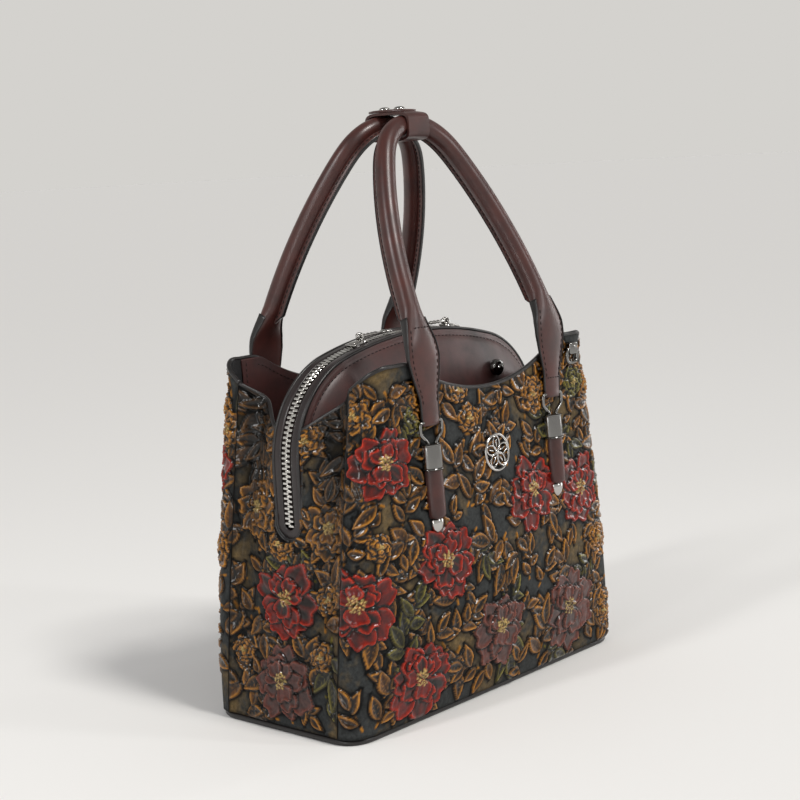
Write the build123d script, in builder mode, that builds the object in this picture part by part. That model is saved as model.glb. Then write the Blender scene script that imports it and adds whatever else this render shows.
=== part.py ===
from build123d import *
import math
import os

# A structured leather handbag: embossed outer walls, a zipped dome-shaped middle compartment
# between two open ones, and two rolled handles tied at the top. Millimetres, +Z up.
# The origin is the middle of the base on the ground, and the front faces -Y.

# Outer body, at the foot, the waist, the shoulder and the tips of the wings
base_width = 300.0
base_depth = 134.0
waist_level = 80.0
waist_width = 284.0
waist_depth = 140.0
waist_belly = 11.0
shoulder_level = 175.0
shoulder_width = 257.0
shoulder_depth = 142.0
shoulder_belly = 4.0
wing_level = 246.0
wing_width = 236.0
wing_depth = 144.0
edge_belly = 1.0
corner_radius = 16.0
leather = 2.2

# Top edge of the front and back walls, and the slope of the ends
scoop_half = 82.0
scoop_level = 220.0
scoop_round = 30.0
end_level = 203.0

# Sheets inside the walls
sheet_gap = 0.1
facing_thickness = 1.0
facing_level = 196.0
facing_half = 100.0
lining_thickness = 0.8
lining_margin = 6.0

# Foot of the bag
piping_radius = 2.0
piping_sides = 6
base_thickness = 3.0
board_thickness = 1.5
board_margin = 5.0

# Gussets: the seam with the walls, the inward creases and the spine under the zip
seam_reach = 52.0
spine_half = 12.5
foot_crease = 46.0
waist_crease = 44.0
shoulder_crease = 40.0
wing_crease = 34.0
foot_fold = 1.0
waist_fold = 5.0
shoulder_fold = 11.0
wing_fold = 15.0
waist_spine = 3.0
shoulder_spine = -1.0
wing_spine = -8.0

# Embossed relief
low_relief = 0.9
high_relief = 1.8
leaf_length = 26.0
leaf_width = 10.0

# Middle compartment: the dome's outline and its two padded panels
dome_half = 130.5
dome_height = 257.0
dome_crown = 300.0
dome_corner = 70.0
dome_foot = 6.0
dome_side = 5.0
panel_sheet = 1.5
pad_margin = 14.0
pad_rise = 16.0
pad_taper = 50.0

# Zip
zip_foot = 140.0
zip_half = 11.0
binding_width = 6.4
binding_thickness = 2.0
tape_thickness = 0.8
tape_reach = 10.4
tooth_pitch = 6.8
tooth_length = 2.4
tooth_height = 2.2
tooth_reach = 3.2
tooth_lap = 0.6
tape_gap = 0.3

# Sliders and pulls
left_slider_reach = 54.0
right_slider_reach = 46.0
slider_length = 15.0
slider_width = 12.0
slider_top = 2.4
slider_lift = 0.35
cap_edge = 0.6
flange_thickness = 0.8
bail_level = 5.0
bail_radius = 1.0
bail_half = 2.4
bail_post = 1.2
bail_forward = 4.0
pull_length = 32.0
pull_tip = 9.0
pull_thickness = 2.0
pull_eye = 2.3
eye_sides = 8
pull_rest_angle = 9.0

# Handles
handle_half = 71.0
handle_foot = 252.0
handle_top = 403.0
handle_gap = 11.0
leg_radius = 288.0
leg_stub = 5.0
tube_radius = 7.0
tube_sides = 8
lip_reach = 3.2
lip_thickness = 3.2
pad_width = 26.0
pad_length = 24.0
pad_thickness = 3.4
pad_waist = 30.0
pad_swell_share = 0.42
strap_width = 14.0
loop_radius = 3.2

# Handle hardware
ring_reach = 68.0
ring_level = 205.0
ring_width = 22.0
ring_bar = 2.4
ring_edge = 0.5
ring_side = 8.0
ring_neck = 14.0
ring_neck_width = 7.6
ring_height = 21.0
sleeve_level = 190.0
sleeve_length = 18.0
sleeve_radius = 8.0
sleeve_wall = 1.2
sleeve_rim = 1.6
sleeve_rim_step = 0.8
tab_level = 139.0
tab_tuck = 10.5
tab_radius = 6.4
bar_sides = 12
tip_width = 8.0
tip_length = 10.0
tip_thickness = 2.4

# Keeper round the two handles
keeper_width = 22.0
keeper_thickness = 1.8
keeper_round = 4.0
keeper_flap = 34.0
keeper_flap_shift = 4.0
cap_radius = 4.2
cap_height = 1.8
cap_spacing = 14.0

# Badge, snaps and strap rings
badge_level = 173.0
badge_radius = 13.5
badge_rim = 1.8
badge_thickness = 1.8
badge_petals = 5
snap_reach = 68.0
snap_level = 222.0
snap_radius = 6.0
snap_stud = 2.6
snap_thickness = 2.0
strap_reach = 95.0
strap_level = 235.0
holder_width = 9.4
holder_height = 9.0
holder_depth = 6.4
dring_bar = 2.4
dring_inner = 10.0
dring_drop = 12.0
dring_round = 4.0

clearance = 0.3
wall_gap = 0.5
overrun = 40.0

# Where the blooms and leaves lie: across as a share of the half width, up as a share of the wing
# level, then a size share of bloom_radius or a turn in degrees
bloom_radius = 30.0
front_bloom_shares = [
    (-0.62, 0.13, 0.85),
    (-0.42, 0.44, 0.8),
    (0.26, 0.56, 0.8),
    (0.7, 0.52, 0.8),
    (0.55, 0.17, 1.0),
    (-0.05, 0.2, 0.8),
]
front_leaf_shares = [
    (-0.72, 0.68, 60),
    (0.36, 0.36, 70),
    (-0.78, 0.36, 80),
    (-0.24, 0.78, 30),
]
back_bloom_shares = [
    (-0.55, 0.2, 1.0),
    (-0.2, 0.56, 0.8),
    (0.3, 0.4, 0.85),
    (0.72, 0.22, 0.75),
    (0.12, 0.19, 0.85),
]
back_leaf_shares = [
    (0.06, 0.42, 60),
    (-0.62, 0.5, 20),
    (-0.02, 0.78, 80),
    (0.7, 0.6, 70),
]
gusset_bloom_shares = [(0.0, 0.36, 0.85), (0.0, 0.13, 0.85)]
petal_reach_share = 0.62
petal_share = 0.38
heart_share = 0.36
petal_count = 5
petal_corners = 4
leaf_outline_shares = [(-0.5, 0), (-0.15, -0.5), (0.2, -0.4), (0.5, 0), (0.2, 0.4), (-0.15, 0.5)]

# What the values above settle
panel_foot = piping_radius * 2 + clearance
seat_depth = leather + sheet_gap
body_levels = [
    (0.0, base_width, base_depth, edge_belly),
    (waist_level, waist_width, waist_depth, waist_belly),
    (shoulder_level, shoulder_width, shoulder_depth, shoulder_belly),
    (wing_level, wing_width, wing_depth, edge_belly),
]
gusset_levels = [
    (0.0, base_width, foot_crease, foot_fold, 0.0),
    (waist_level, waist_width, waist_crease, waist_fold, waist_spine),
    (shoulder_level, shoulder_width, shoulder_crease, shoulder_fold, shoulder_spine),
    (wing_level, wing_width, wing_crease, wing_fold, wing_spine),
]
crown_centre = dome_height - dome_crown
corner_across = dome_half - dome_corner
corner_centre = crown_centre + math.sqrt((dome_crown - dome_corner) ** 2 - corner_across**2)
crown_angle = math.degrees(math.asin(corner_across / (dome_crown - dome_corner)))
corner_angle = 90 - crown_angle
half_turn = (0, 0, 180)

os.makedirs("parts", exist_ok=True)


def save(builder, name):
    builder.part.label = name
    export_step(builder.part, f"parts/{name}.step")


# Outer body, as a solid that can be grown or shrunk


def body_section(level, width, depth, belly, growth):
    across = width / 2 + growth
    along = depth / 2 + growth
    with BuildSketch(Plane.XY.offset(level)) as section:
        with BuildLine():
            ThreePointArc((-across, -along), (0, -along - belly), (across, -along))
            Line((across, -along), (across, along))
            ThreePointArc((across, along), (0, along + belly), (-across, along))
            Line((-across, along), (-across, -along))
        make_face()
        fillet(section.vertices(), radius=corner_radius + growth)
    return section.sketch


def body_loft(growth):
    with BuildPart() as body:
        loft([body_section(*level, growth) for level in body_levels])
    return body.part


plain_body = body_loft(0.0)
front_skin = plain_body.faces().sort_by(Axis.Y)[0]


def seat(across, level):
    hits = front_skin.find_intersection_points(Axis((across, 0, level), (0, -1, 0)))
    return hits[0][0].Y


def trim_wall(foot):
    # The wall keeps its front half and loses the scoop, the sloped ends and the strip at its foot
    split(bisect_by=Plane.XZ.offset(seam_reach), keep=Keep.TOP)
    extrude(scoop_face(), amount=base_depth, mode=Mode.SUBTRACT)
    extrude(slope_face(), amount=base_width, both=True, mode=Mode.SUBTRACT)
    extrude(foot_face(), amount=foot, mode=Mode.SUBTRACT)


def scoop_face():
    with BuildSketch(Plane.XZ) as scoop:
        with BuildLine():
            ThreePointArc((-scoop_half, wing_level), (0, scoop_level), (scoop_half, wing_level))
            Polyline((scoop_half, wing_level), (base_width, wing_level), (base_width, wing_level + overrun),
                     (-base_width, wing_level + overrun), (-base_width, wing_level), (-scoop_half, wing_level))
        make_face()
        shoulders = scoop.vertices().group_by(Axis.Y)[0].filter_by(lambda v: abs(v.X) < base_width / 2)
        fillet(shoulders, radius=scoop_round)
    return scoop.sketch


def slope_face():
    rise = (wing_level - end_level) / (wing_depth / 2 - spine_half)
    past = end_level + rise * (base_depth - spine_half)
    with BuildSketch(Plane.YZ) as slope:
        with BuildLine():
            Polyline((-spine_half, end_level), (spine_half, end_level), (base_depth, past),
                     (-base_depth, past), close=True)
        make_face()
    return slope.sketch


def foot_face():
    with BuildSketch(Plane.XY) as foot:
        Rectangle(base_width + overrun, base_depth + overrun)
    return foot.sketch


# Embossed relief: blooms in two tiers and single leaves, as prisms cut to the grown body


def bloom_face(plane, half, shares):
    with BuildSketch(plane) as blooms:
        for across, up, share in shares:
            radius = bloom_radius * share
            with Locations((across * half, up * wing_level)):
                RegularPolygon(radius * petal_reach_share, petal_count)
                with PolarLocations(radius * petal_reach_share, petal_count):
                    RegularPolygon(radius * petal_share, petal_corners)
    return blooms.sketch


def heart_face(plane, half, shares):
    with BuildSketch(plane) as hearts:
        for across, up, share in shares:
            with Locations((across * half, up * wing_level)):
                RegularPolygon(bloom_radius * share * heart_share, petal_count)
    return hearts.sketch


def leaf_face(plane, half, shares):
    with BuildSketch(plane) as leaves:
        for across, up, turn in shares:
            with Locations(Location((across * half, up * wing_level), turn)):
                Polygon(*[(leaf_length * along, leaf_width * out) for along, out in leaf_outline_shares])
    return leaves.sketch


def wall_tier(outline, height):
    with BuildPart() as tier:
        extrude(outline, amount=base_depth)
        add(body_loft(height), mode=Mode.INTERSECT)
    return tier.part


def embossed_wall(bloom_shares, leaf_shares):
    half = waist_width / 2
    with BuildPart() as wall:
        add(plain_body)
        add(wall_tier(leaf_face(Plane.XZ, half, leaf_shares), low_relief))
        add(wall_tier(bloom_face(Plane.XZ, half, bloom_shares), low_relief))
        add(wall_tier(heart_face(Plane.XZ, half, bloom_shares), high_relief))
        add(body_loft(-leather), mode=Mode.SUBTRACT)
        trim_wall(panel_foot)
    return wall.part


with BuildPart() as front_panel:
    add(embossed_wall(front_bloom_shares, front_leaf_shares))
save(front_panel, "front_panel")

with BuildPart() as back_panel:
    add(embossed_wall(back_bloom_shares, back_leaf_shares), rotation=half_turn)
save(back_panel, "back_panel")


# Smooth sheets on the inside of the walls


with BuildPart() as front_facing:
    add(body_loft(-seat_depth))
    add(body_loft(-seat_depth - facing_thickness), mode=Mode.SUBTRACT)
    trim_wall(facing_level + clearance)
    split(bisect_by=Plane.YZ.offset(facing_half), keep=Keep.BOTTOM)
    split(bisect_by=Plane.YZ.offset(-facing_half), keep=Keep.TOP)
save(front_facing, "front_facing")

with BuildPart() as back_facing:
    add(front_facing.part, rotation=half_turn)
save(back_facing, "back_facing")

with BuildPart() as front_lining:
    # A loose flat sheet that hangs from the facing to the base board
    lining_foot = base_thickness + board_thickness
    hang = base_depth / 2 - seat_depth - lining_margin
    for level in (lining_foot, facing_level):
        with BuildSketch(Plane.XY.offset(level)):
            with Locations((0, -hang)):
                Rectangle(2 * facing_half, lining_thickness)
    loft()
save(front_lining, "front_lining")

with BuildPart() as back_lining:
    add(front_lining.part, rotation=half_turn)
save(back_lining, "back_lining")


# Foot: the base, its board and the piping round the edge

piping_width = base_width - 2 * piping_radius
piping_depth = base_depth - 2 * piping_radius
piping_corner = corner_radius - piping_radius

with BuildPart() as base_piping:
    with BuildLine(Plane.XY.offset(piping_radius)) as rim:
        with BuildSketch(Plane.XY.offset(piping_radius), mode=Mode.PRIVATE) as rim_face:
            RectangleRounded(piping_width, piping_depth, piping_corner)
        add(rim_face.sketch.faces()[0].outer_wire())
    with BuildSketch(Plane(origin=rim.line @ 0, z_dir=rim.line % 0)):
        RegularPolygon(piping_radius, piping_sides)
    sweep()
save(base_piping, "base_piping")

with BuildPart() as base_panel:
    with BuildSketch():
        RectangleRounded(piping_width - 2 * piping_radius, piping_depth - 2 * piping_radius,
                         piping_corner - piping_radius)
    extrude(amount=base_thickness)
save(base_panel, "base_panel")

with BuildPart() as base_board:
    with BuildSketch(Plane.XY.offset(base_thickness)) as board_face:
        Rectangle(piping_width - 2 * piping_radius - 2 * board_margin,
                  piping_depth - 2 * piping_radius - 2 * board_margin)
        chamfer(board_face.vertices(), length=board_margin)
    extrude(amount=board_thickness)
save(base_board, "base_board")


# Gussets: folded sheets with an M in plan, open at the top for the zip


def gusset_section(level, width, crease, fold, spine, growth):
    edge = seam_reach - clearance
    inset = [(edge, 0.0), (crease, fold), (spine_half, spine)]
    folds = [(-along, depth) for along, depth in inset] + [(along, depth) for along, depth in reversed(inset)]
    outer = [(-width / 2 + depth - growth, along) for along, depth in folds]
    inner = [(-width / 2 + depth + leather, along) for along, depth in reversed(folds)]
    with BuildSketch(Plane.XY.offset(level)) as section:
        with BuildLine():
            Polyline(*outer, *inner, close=True)
        make_face()
    return section.sketch


def gusset_loft(growth):
    with BuildPart() as gusset:
        loft([gusset_section(*level, growth) for level in gusset_levels])
    return gusset.part


def gusset_tier(outline, height):
    with BuildPart() as tier:
        extrude(outline, amount=-base_width)
        add(gusset_loft(height), mode=Mode.INTERSECT)
    return tier.part


with BuildPart() as left_gusset:
    add(gusset_loft(0.0))
    add(gusset_tier(bloom_face(Plane.YZ, seam_reach, gusset_bloom_shares), low_relief))
    add(gusset_tier(heart_face(Plane.YZ, seam_reach, gusset_bloom_shares), high_relief))
    extrude(slope_face(), amount=base_width, both=True, mode=Mode.SUBTRACT)
    extrude(foot_face(), amount=panel_foot, mode=Mode.SUBTRACT)
    with BuildSketch(Plane.YZ):
        with Locations((0, zip_foot)):
            Circle(zip_half + panel_sheet + clearance)
        with Locations((0, (zip_foot + wing_level) / 2)):
            Rectangle(2 * (zip_half + panel_sheet + clearance), wing_level - zip_foot)
    extrude(amount=-base_width, mode=Mode.SUBTRACT)
save(left_gusset, "left_gusset")

with BuildPart() as right_gusset:
    add(left_gusset.part, rotation=half_turn)
save(right_gusset, "right_gusset")


# Middle compartment


def dome_lines(inset, foot):
    side = dome_half - inset
    corner = dome_corner - inset
    Line((side, foot), (side, corner_centre))
    CenterArc((corner_across, corner_centre), corner, 0, corner_angle)
    CenterArc((0, crown_centre), dome_crown - inset, corner_angle, 2 * crown_angle)
    CenterArc((-corner_across, corner_centre), corner, 180 - corner_angle, corner_angle)
    Line((-side, corner_centre), (-side, foot))


def dome_face(plane, inset, foot):
    with BuildSketch(plane) as face:
        with BuildLine():
            dome_lines(inset, foot)
            Line((-dome_half + inset, foot), (dome_half - inset, foot))
        make_face()
    return face.sketch


def dome_strip(plane, outer_inset, inner_inset):
    with BuildSketch(plane) as strip:
        with BuildLine():
            dome_lines(outer_inset, zip_foot)
            Line((-dome_half + outer_inset, zip_foot), (dome_half - outer_inset, zip_foot))
        make_face()
        with BuildLine():
            dome_lines(inner_inset, zip_foot)
            Line((-dome_half + inner_inset, zip_foot), (dome_half - inner_inset, zip_foot))
        make_face(mode=Mode.SUBTRACT)
    return strip.sketch


rim_plane = Plane.XZ.offset(zip_half)

with BuildPart() as core_front_panel:
    extrude(dome_face(rim_plane, 0.0, dome_foot), amount=panel_sheet)
    extrude(dome_face(rim_plane, pad_margin, dome_foot + dome_side), amount=pad_rise, taper=pad_taper)
    extrude(dome_face(rim_plane, pad_margin + panel_sheet, dome_foot + dome_side + panel_sheet),
            amount=pad_rise - panel_sheet, taper=pad_taper, mode=Mode.SUBTRACT)
save(core_front_panel, "core_front_panel")

with BuildPart() as core_back_panel:
    add(core_front_panel.part, rotation=half_turn)
save(core_back_panel, "core_back_panel")


# Zip: bindings, tapes and teeth along the dome

with BuildPart() as zip_band_front:
    extrude(dome_strip(Plane.XZ.offset(zip_half - binding_width), 0.0, binding_thickness), amount=binding_width)
save(zip_band_front, "zip_band_front")

with BuildPart() as zip_band_back:
    add(zip_band_front.part, rotation=half_turn)
save(zip_band_back, "zip_band_back")

with BuildPart() as zip_tape_front:
    extrude(dome_strip(Plane.XZ.offset(tape_gap), binding_thickness, binding_thickness + tape_thickness),
            amount=tape_reach - tape_gap)
save(zip_tape_front, "zip_tape_front")

with BuildPart() as zip_tape_back:
    add(zip_tape_front.part, rotation=half_turn)
save(zip_tape_back, "zip_tape_back")

with BuildLine(Plane.XZ) as chain:
    dome_lines(binding_thickness, zip_foot)
chain_wire = chain.wire()
tooth_total = int((chain_wire.length - tooth_length) / tooth_pitch)
tooth_width = tooth_reach + tooth_lap


def tooth_planes(first, side):
    # One plane for each tooth, standing on the tape with its normal along the row's own side
    places = []
    for number in range(tooth_total):
        run = (first + number * tooth_pitch) / chain_wire.length
        point = chain_wire @ run
        along = chain_wire % run
        middle = Vector(point.X, side * (tooth_reach - tooth_lap) / 2, point.Z)
        places.append(Plane(origin=middle, x_dir=along, z_dir=(0, 1, 0)))
    return places


with BuildPart() as zip_teeth_front:
    with Locations(*tooth_planes(tooth_length, -1)):
        Box(tooth_length, tooth_height, tooth_width, align=(Align.CENTER, Align.MIN, Align.CENTER))
save(zip_teeth_front, "zip_teeth_front")

with BuildPart() as zip_teeth_back:
    with Locations(*tooth_planes(tooth_length + tooth_pitch / 2, 1)):
        Box(tooth_length, tooth_height, tooth_width, align=(Align.CENTER, Align.MIN, Align.CENTER))
save(zip_teeth_back, "zip_teeth_back")

with BuildPart() as zip_end_left:
    with BuildSketch(Plane.YZ.offset(-dome_half)):
        with Locations((0, zip_foot - clearance)):
            Circle(zip_half)
            Rectangle(2 * zip_half, 2 * zip_half, align=(Align.CENTER, Align.MIN), mode=Mode.SUBTRACT)
    extrude(amount=binding_thickness)
save(zip_end_left, "zip_end_left")

with BuildPart() as zip_end_right:
    add(zip_end_left.part, rotation=half_turn)
save(zip_end_right, "zip_end_right")


# Sliders ride on the crown of the dome, each with a bail that its pull hangs on


def crown_plane(reach, toward):
    # Tangent to the crown, with x pointing to the middle of the bag and z outwards
    lean = math.asin(reach / dome_crown)
    radial = Vector(-toward * math.sin(lean), 0, math.cos(lean))
    along = Vector(toward * math.cos(lean), 0, math.sin(lean))
    return Plane(origin=Vector(0, 0, crown_centre) + radial * dome_crown, x_dir=along, z_dir=radial)


def slider_solid(reach, toward):
    cap_bottom = tooth_height - binding_thickness + slider_lift
    flange_outer = zip_half - binding_width - clearance
    flange_drop = slider_top + binding_thickness - slider_lift
    post_height = bail_level + bail_radius - slider_top
    place = crown_plane(reach, toward)
    bail = place.from_local_coords(Vector(bail_forward, 0, bail_level))
    with BuildPart(place) as slider:
        with Locations((0, 0, slider_top)):
            Box(slider_length, slider_width, slider_top - cap_bottom, align=(Align.CENTER, Align.CENTER, Align.MAX))
            chamfer(slider.edges(), length=cap_edge)
        for side in (-1, 1):
            with Locations((0, side * (flange_outer - flange_thickness / 2), slider_top - cap_edge)):
                Box(slider_length - 2 * cap_edge, flange_thickness, flange_drop - cap_edge,
                    align=(Align.CENTER, Align.CENTER, Align.MAX))
            with Locations((bail_forward, side * (bail_half + bail_post / 2), slider_top)):
                Box(bail_post, bail_post, post_height, align=(Align.CENTER, Align.CENTER, Align.MIN))
        with BuildSketch(Plane(origin=bail, x_dir=place.x_dir, z_dir=place.y_dir)):
            RegularPolygon(bail_radius, eye_sides)
        extrude(amount=bail_half, both=True)
    return slider.part


def pull_solid(reach, toward):
    place = crown_plane(reach, toward)
    bail = place.from_local_coords(Vector(bail_forward, 0, bail_level))
    dip = math.radians(pull_rest_angle)
    ahead = place.x_dir * math.cos(dip) - place.z_dir * math.sin(dip)
    above = place.z_dir * math.cos(dip) + place.x_dir * math.sin(dip)
    tilted = Plane(origin=bail, x_dir=ahead, z_dir=above)
    edgewise = Plane(origin=bail, x_dir=ahead, z_dir=place.y_dir)
    eye_half = bail_half - clearance
    neck = pull_eye + bail_post
    tip_middle = pull_length - pull_tip / 2
    with BuildPart() as pull:
        with BuildSketch(tilted):
            with BuildLine():
                Polyline((0, eye_half), (neck, eye_half), (tip_middle, pull_tip / 2), (pull_length, pull_tip / 4),
                         (pull_length, -pull_tip / 4), (tip_middle, -pull_tip / 2), (neck, -eye_half),
                         (0, -eye_half), close=True)
            make_face()
            with Locations((tip_middle, 0)):
                RegularPolygon(pull_tip / 2 - pull_thickness, eye_sides, mode=Mode.SUBTRACT)
        extrude(amount=pull_thickness / 2, both=True)
        with BuildSketch(edgewise):
            RegularPolygon(pull_eye, eye_sides)
        extrude(amount=eye_half, both=True)
        with BuildSketch(edgewise):
            RegularPolygon(bail_radius + clearance, eye_sides, major_radius=False)
        extrude(amount=eye_half, both=True, mode=Mode.SUBTRACT)
    return pull.part


for side_name, reach, toward in (("left", left_slider_reach, 1), ("right", right_slider_reach, -1)):
    with BuildPart() as zip_slider:
        add(slider_solid(reach, toward))
    save(zip_slider, f"zip_slider_{side_name}")
    with BuildPart() as zip_pull:
        add(pull_solid(reach, toward))
    save(zip_pull, f"zip_pull_{side_name}")


# Handles: each is one rolled tube with a flat lip, a leaf-shaped pad and a strap at either foot

strap_out = loop_radius + clearance - seat(ring_reach, ring_level)
handle_slope = Vector(0, strap_out - handle_gap, handle_top - handle_foot)
handle_rise = handle_slope.length
handle_plane = Plane(origin=(0, -strap_out, handle_foot), x_dir=(1, 0, 0),
                     z_dir=Vector(1, 0, 0).cross(handle_slope))
strap_plane = Plane.XZ.offset(strap_out)
leg_centre = leg_radius - handle_half
leg_rise = handle_rise - leg_stub
apex_radius = (leg_radius**2 - leg_centre**2 - leg_rise**2) / (2 * (leg_radius - leg_rise))
leg_angle = math.degrees(math.atan2(leg_rise - apex_radius, leg_centre))
loop_bore = ring_bar / math.sqrt(2) + clearance

with BuildPart() as front_handle:
    with BuildLine(handle_plane) as grip:
        Line((-handle_half, 0), (-handle_half, leg_stub))
        CenterArc((leg_centre, leg_stub), leg_radius, 180, -leg_angle)
        CenterArc((0, handle_rise - apex_radius), apex_radius, 180 - leg_angle, 2 * leg_angle - 180)
        CenterArc((-leg_centre, leg_stub), leg_radius, leg_angle, -leg_angle)
        Line((handle_half, leg_stub), (handle_half, 0))
    with BuildSketch(Plane(origin=grip.line @ 0, x_dir=handle_plane.z_dir, z_dir=grip.line % 0)):
        RegularPolygon(tube_radius, tube_sides)
        Rectangle(tube_radius + lip_reach, lip_thickness, align=(Align.MAX, Align.CENTER))
    sweep()
    for side in (-1, 1):
        middle = side * handle_half
        left = middle - pad_width / 2
        right = middle + pad_width / 2
        with BuildSketch(handle_plane):
            with BuildLine():
                Polyline((left, 0), (left, -pad_thickness), (right, -pad_thickness), (right, 0))
                ThreePointArc((right, 0), (middle + pad_width * pad_swell_share, pad_length / 2), (middle, pad_length))
                ThreePointArc((middle, pad_length), (middle - pad_width * pad_swell_share, pad_length / 2), (left, 0))
            make_face()
        extrude(amount=pad_thickness / 2, both=True)
        with BuildSketch(strap_plane):
            with BuildLine():
                Polyline((left, handle_foot),
                         (side * ring_reach - strap_width / 2, handle_foot - pad_waist),
                         (side * ring_reach - strap_width / 2, ring_level),
                         (side * ring_reach + strap_width / 2, ring_level),
                         (side * ring_reach + strap_width / 2, handle_foot - pad_waist),
                         (right, handle_foot), close=True)
            make_face()
        extrude(amount=pad_thickness / 2, both=True)
        with Locations((side * ring_reach, -strap_out, ring_level)):
            Cylinder(loop_radius, strap_width, rotation=(0, 90, 0))
            Cylinder(loop_bore, strap_width, rotation=(0, 90, 0), mode=Mode.SUBTRACT)
save(front_handle, "front_handle")

with BuildPart() as rear_handle:
    add(front_handle.part, rotation=half_turn)
save(rear_handle, "rear_handle")


# Handle hardware: stirrup ring, half-round sleeve and tab lying on the wall, metal tip


def wall_plane(across, top, bottom):
    # Lies on the front wall between two levels, with y up the wall and z outwards
    high = Vector(across, seat(across, top) - wall_gap, top)
    low = Vector(across, seat(across, bottom) - wall_gap, bottom)
    return Plane(origin=high, x_dir=(1, 0, 0), z_dir=Vector(1, 0, 0).cross(high - low))


def half_round(plane, drop, radius, length):
    # A half-round bar lying on the wall, from drop below the plane's origin downwards
    start = plane.origin - plane.y_dir * drop
    with BuildPart() as bar:
        with BuildSketch(Plane(origin=start, x_dir=plane.x_dir, z_dir=-plane.y_dir)):
            RegularPolygon(radius, bar_sides)
            Rectangle(2 * radius, 2 * radius, align=(Align.CENTER, Align.MAX), mode=Mode.SUBTRACT)
        extrude(amount=length)
    return bar.part


def ring_solid(across):
    with BuildPart() as ring:
        with BuildSketch(strap_plane):
            with Locations((across, ring_level)):
                with BuildLine(mode=Mode.PRIVATE) as rim:
                    Polyline((-ring_width / 2, 0), (ring_width / 2, 0), (ring_width / 2, -ring_side),
                             (ring_neck_width / 2, -ring_neck), (ring_neck_width / 2, -ring_height),
                             (-ring_neck_width / 2, -ring_height), (-ring_neck_width / 2, -ring_neck),
                             (-ring_width / 2, -ring_side), close=True)
                add(make_face(rim.edges(), mode=Mode.PRIVATE))
            offset(amount=ring_bar / 2, kind=Kind.INTERSECTION)
            offset(amount=-ring_bar, kind=Kind.INTERSECTION, mode=Mode.SUBTRACT)
        extrude(amount=ring_bar / 2, both=True)
        chamfer(ring.faces().filter_by(Axis.Y).edges(), length=ring_edge)
    return ring.part


def sleeve_solid(place):
    rim_radius = sleeve_radius + sleeve_rim_step
    with BuildPart() as sleeve:
        add(half_round(place, 0.0, sleeve_radius, sleeve_length))
        add(half_round(place, 0.0, rim_radius, sleeve_rim))
        add(half_round(place, sleeve_length - sleeve_rim, rim_radius, sleeve_rim))
        add(half_round(place, 0.0, sleeve_radius - sleeve_wall, sleeve_length), mode=Mode.SUBTRACT)
    return sleeve.part


def tab_solid(place):
    drop = sleeve_length - tab_tuck
    with BuildPart() as tab:
        add(half_round(place, drop, tab_radius, sleeve_level - tab_level - drop))
    return tab.part


def tip_solid(place):
    end = place.origin - place.y_dir * (sleeve_level - tab_level + clearance)
    with BuildPart() as tip:
        with BuildSketch(Plane(origin=end, x_dir=place.x_dir, z_dir=place.z_dir)) as shield:
            Rectangle(tip_width, tip_length, align=(Align.CENTER, Align.MAX))
            chamfer(shield.vertices().group_by(Axis.Y)[0], length=tip_width / 4, length2=tip_length / 2)
        extrude(amount=tip_thickness)
    return tip.part


for side_name, other_name, side in (("left", "right", -1), ("right", "left", 1)):
    place = wall_plane(side * ring_reach, sleeve_level, tab_level)
    pieces = {
        "ring": ring_solid(side * ring_reach),
        "sleeve": sleeve_solid(place),
        "tab": tab_solid(place),
        "tip": tip_solid(place),
    }
    for piece_name, solid in pieces.items():
        with BuildPart() as front_piece:
            add(solid)
        save(front_piece, f"front_{side_name}_{piece_name}")
        with BuildPart() as back_piece:
            add(solid, rotation=half_turn)
        save(back_piece, f"back_{other_name}_{piece_name}")


# Keeper round both handles at the top, and its snap caps

apex_drop = apex_radius - math.sqrt(apex_radius**2 - (keeper_width / 2) ** 2)
keeper_level = handle_top - apex_drop / 2
keeper_high = 2 * (tube_radius + clearance) + apex_drop
keeper_long = 2 * (handle_gap + tube_radius + clearance + apex_drop * handle_slope.Y / handle_rise)
flap_level = keeper_level + keeper_high / 2 + keeper_thickness

with BuildPart() as handle_keeper:
    with BuildSketch(Plane.YZ.offset(-keeper_width / 2)) as keeper_face:
        with Locations((0, keeper_level)):
            Rectangle(keeper_long + 2 * keeper_thickness, keeper_high + 2 * keeper_thickness)
        chamfer(keeper_face.vertices(), length=keeper_round)
        offset(amount=-keeper_thickness, mode=Mode.SUBTRACT)
    extrude(amount=keeper_width)
    with BuildSketch(Plane.XY.offset(flap_level)) as flap_face:
        with Locations((0, keeper_flap_shift)):
            Rectangle(keeper_width, keeper_flap)
        chamfer(flap_face.vertices(), length=keeper_round)
    extrude(amount=keeper_thickness)
save(handle_keeper, "handle_keeper")

with BuildPart() as keeper_snaps:
    with BuildSketch(Plane.XY.offset(flap_level + keeper_thickness)):
        with Locations((0, keeper_flap_shift)):
            with GridLocations(0, cap_spacing, 1, 2):
                RegularPolygon(cap_radius, bar_sides)
    extrude(amount=cap_height)
    chamfer(keeper_snaps.faces().sort_by(Axis.Z)[-2:].edges(), length=cap_edge)
save(keeper_snaps, "keeper_snaps")


# Badge: a plain blossom inside a ring

with BuildPart() as badge:
    with BuildSketch(wall_plane(0, badge_level + badge_radius, badge_level - badge_radius)):
        with Locations((0, -badge_radius)):
            RegularPolygon(badge_radius, 2 * bar_sides)
            RegularPolygon(badge_radius - badge_rim, 2 * bar_sides, mode=Mode.SUBTRACT)
            with PolarLocations(badge_radius / 2, badge_petals):
                RegularPolygon(badge_radius / 2 - badge_rim / 4, badge_petals)
    extrude(amount=badge_thickness)
save(badge, "badge")


# Snaps that close the front compartment: studs on the middle one, sockets in the facing

stud_plane = Plane.XZ.offset(zip_half + pad_rise)

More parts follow.
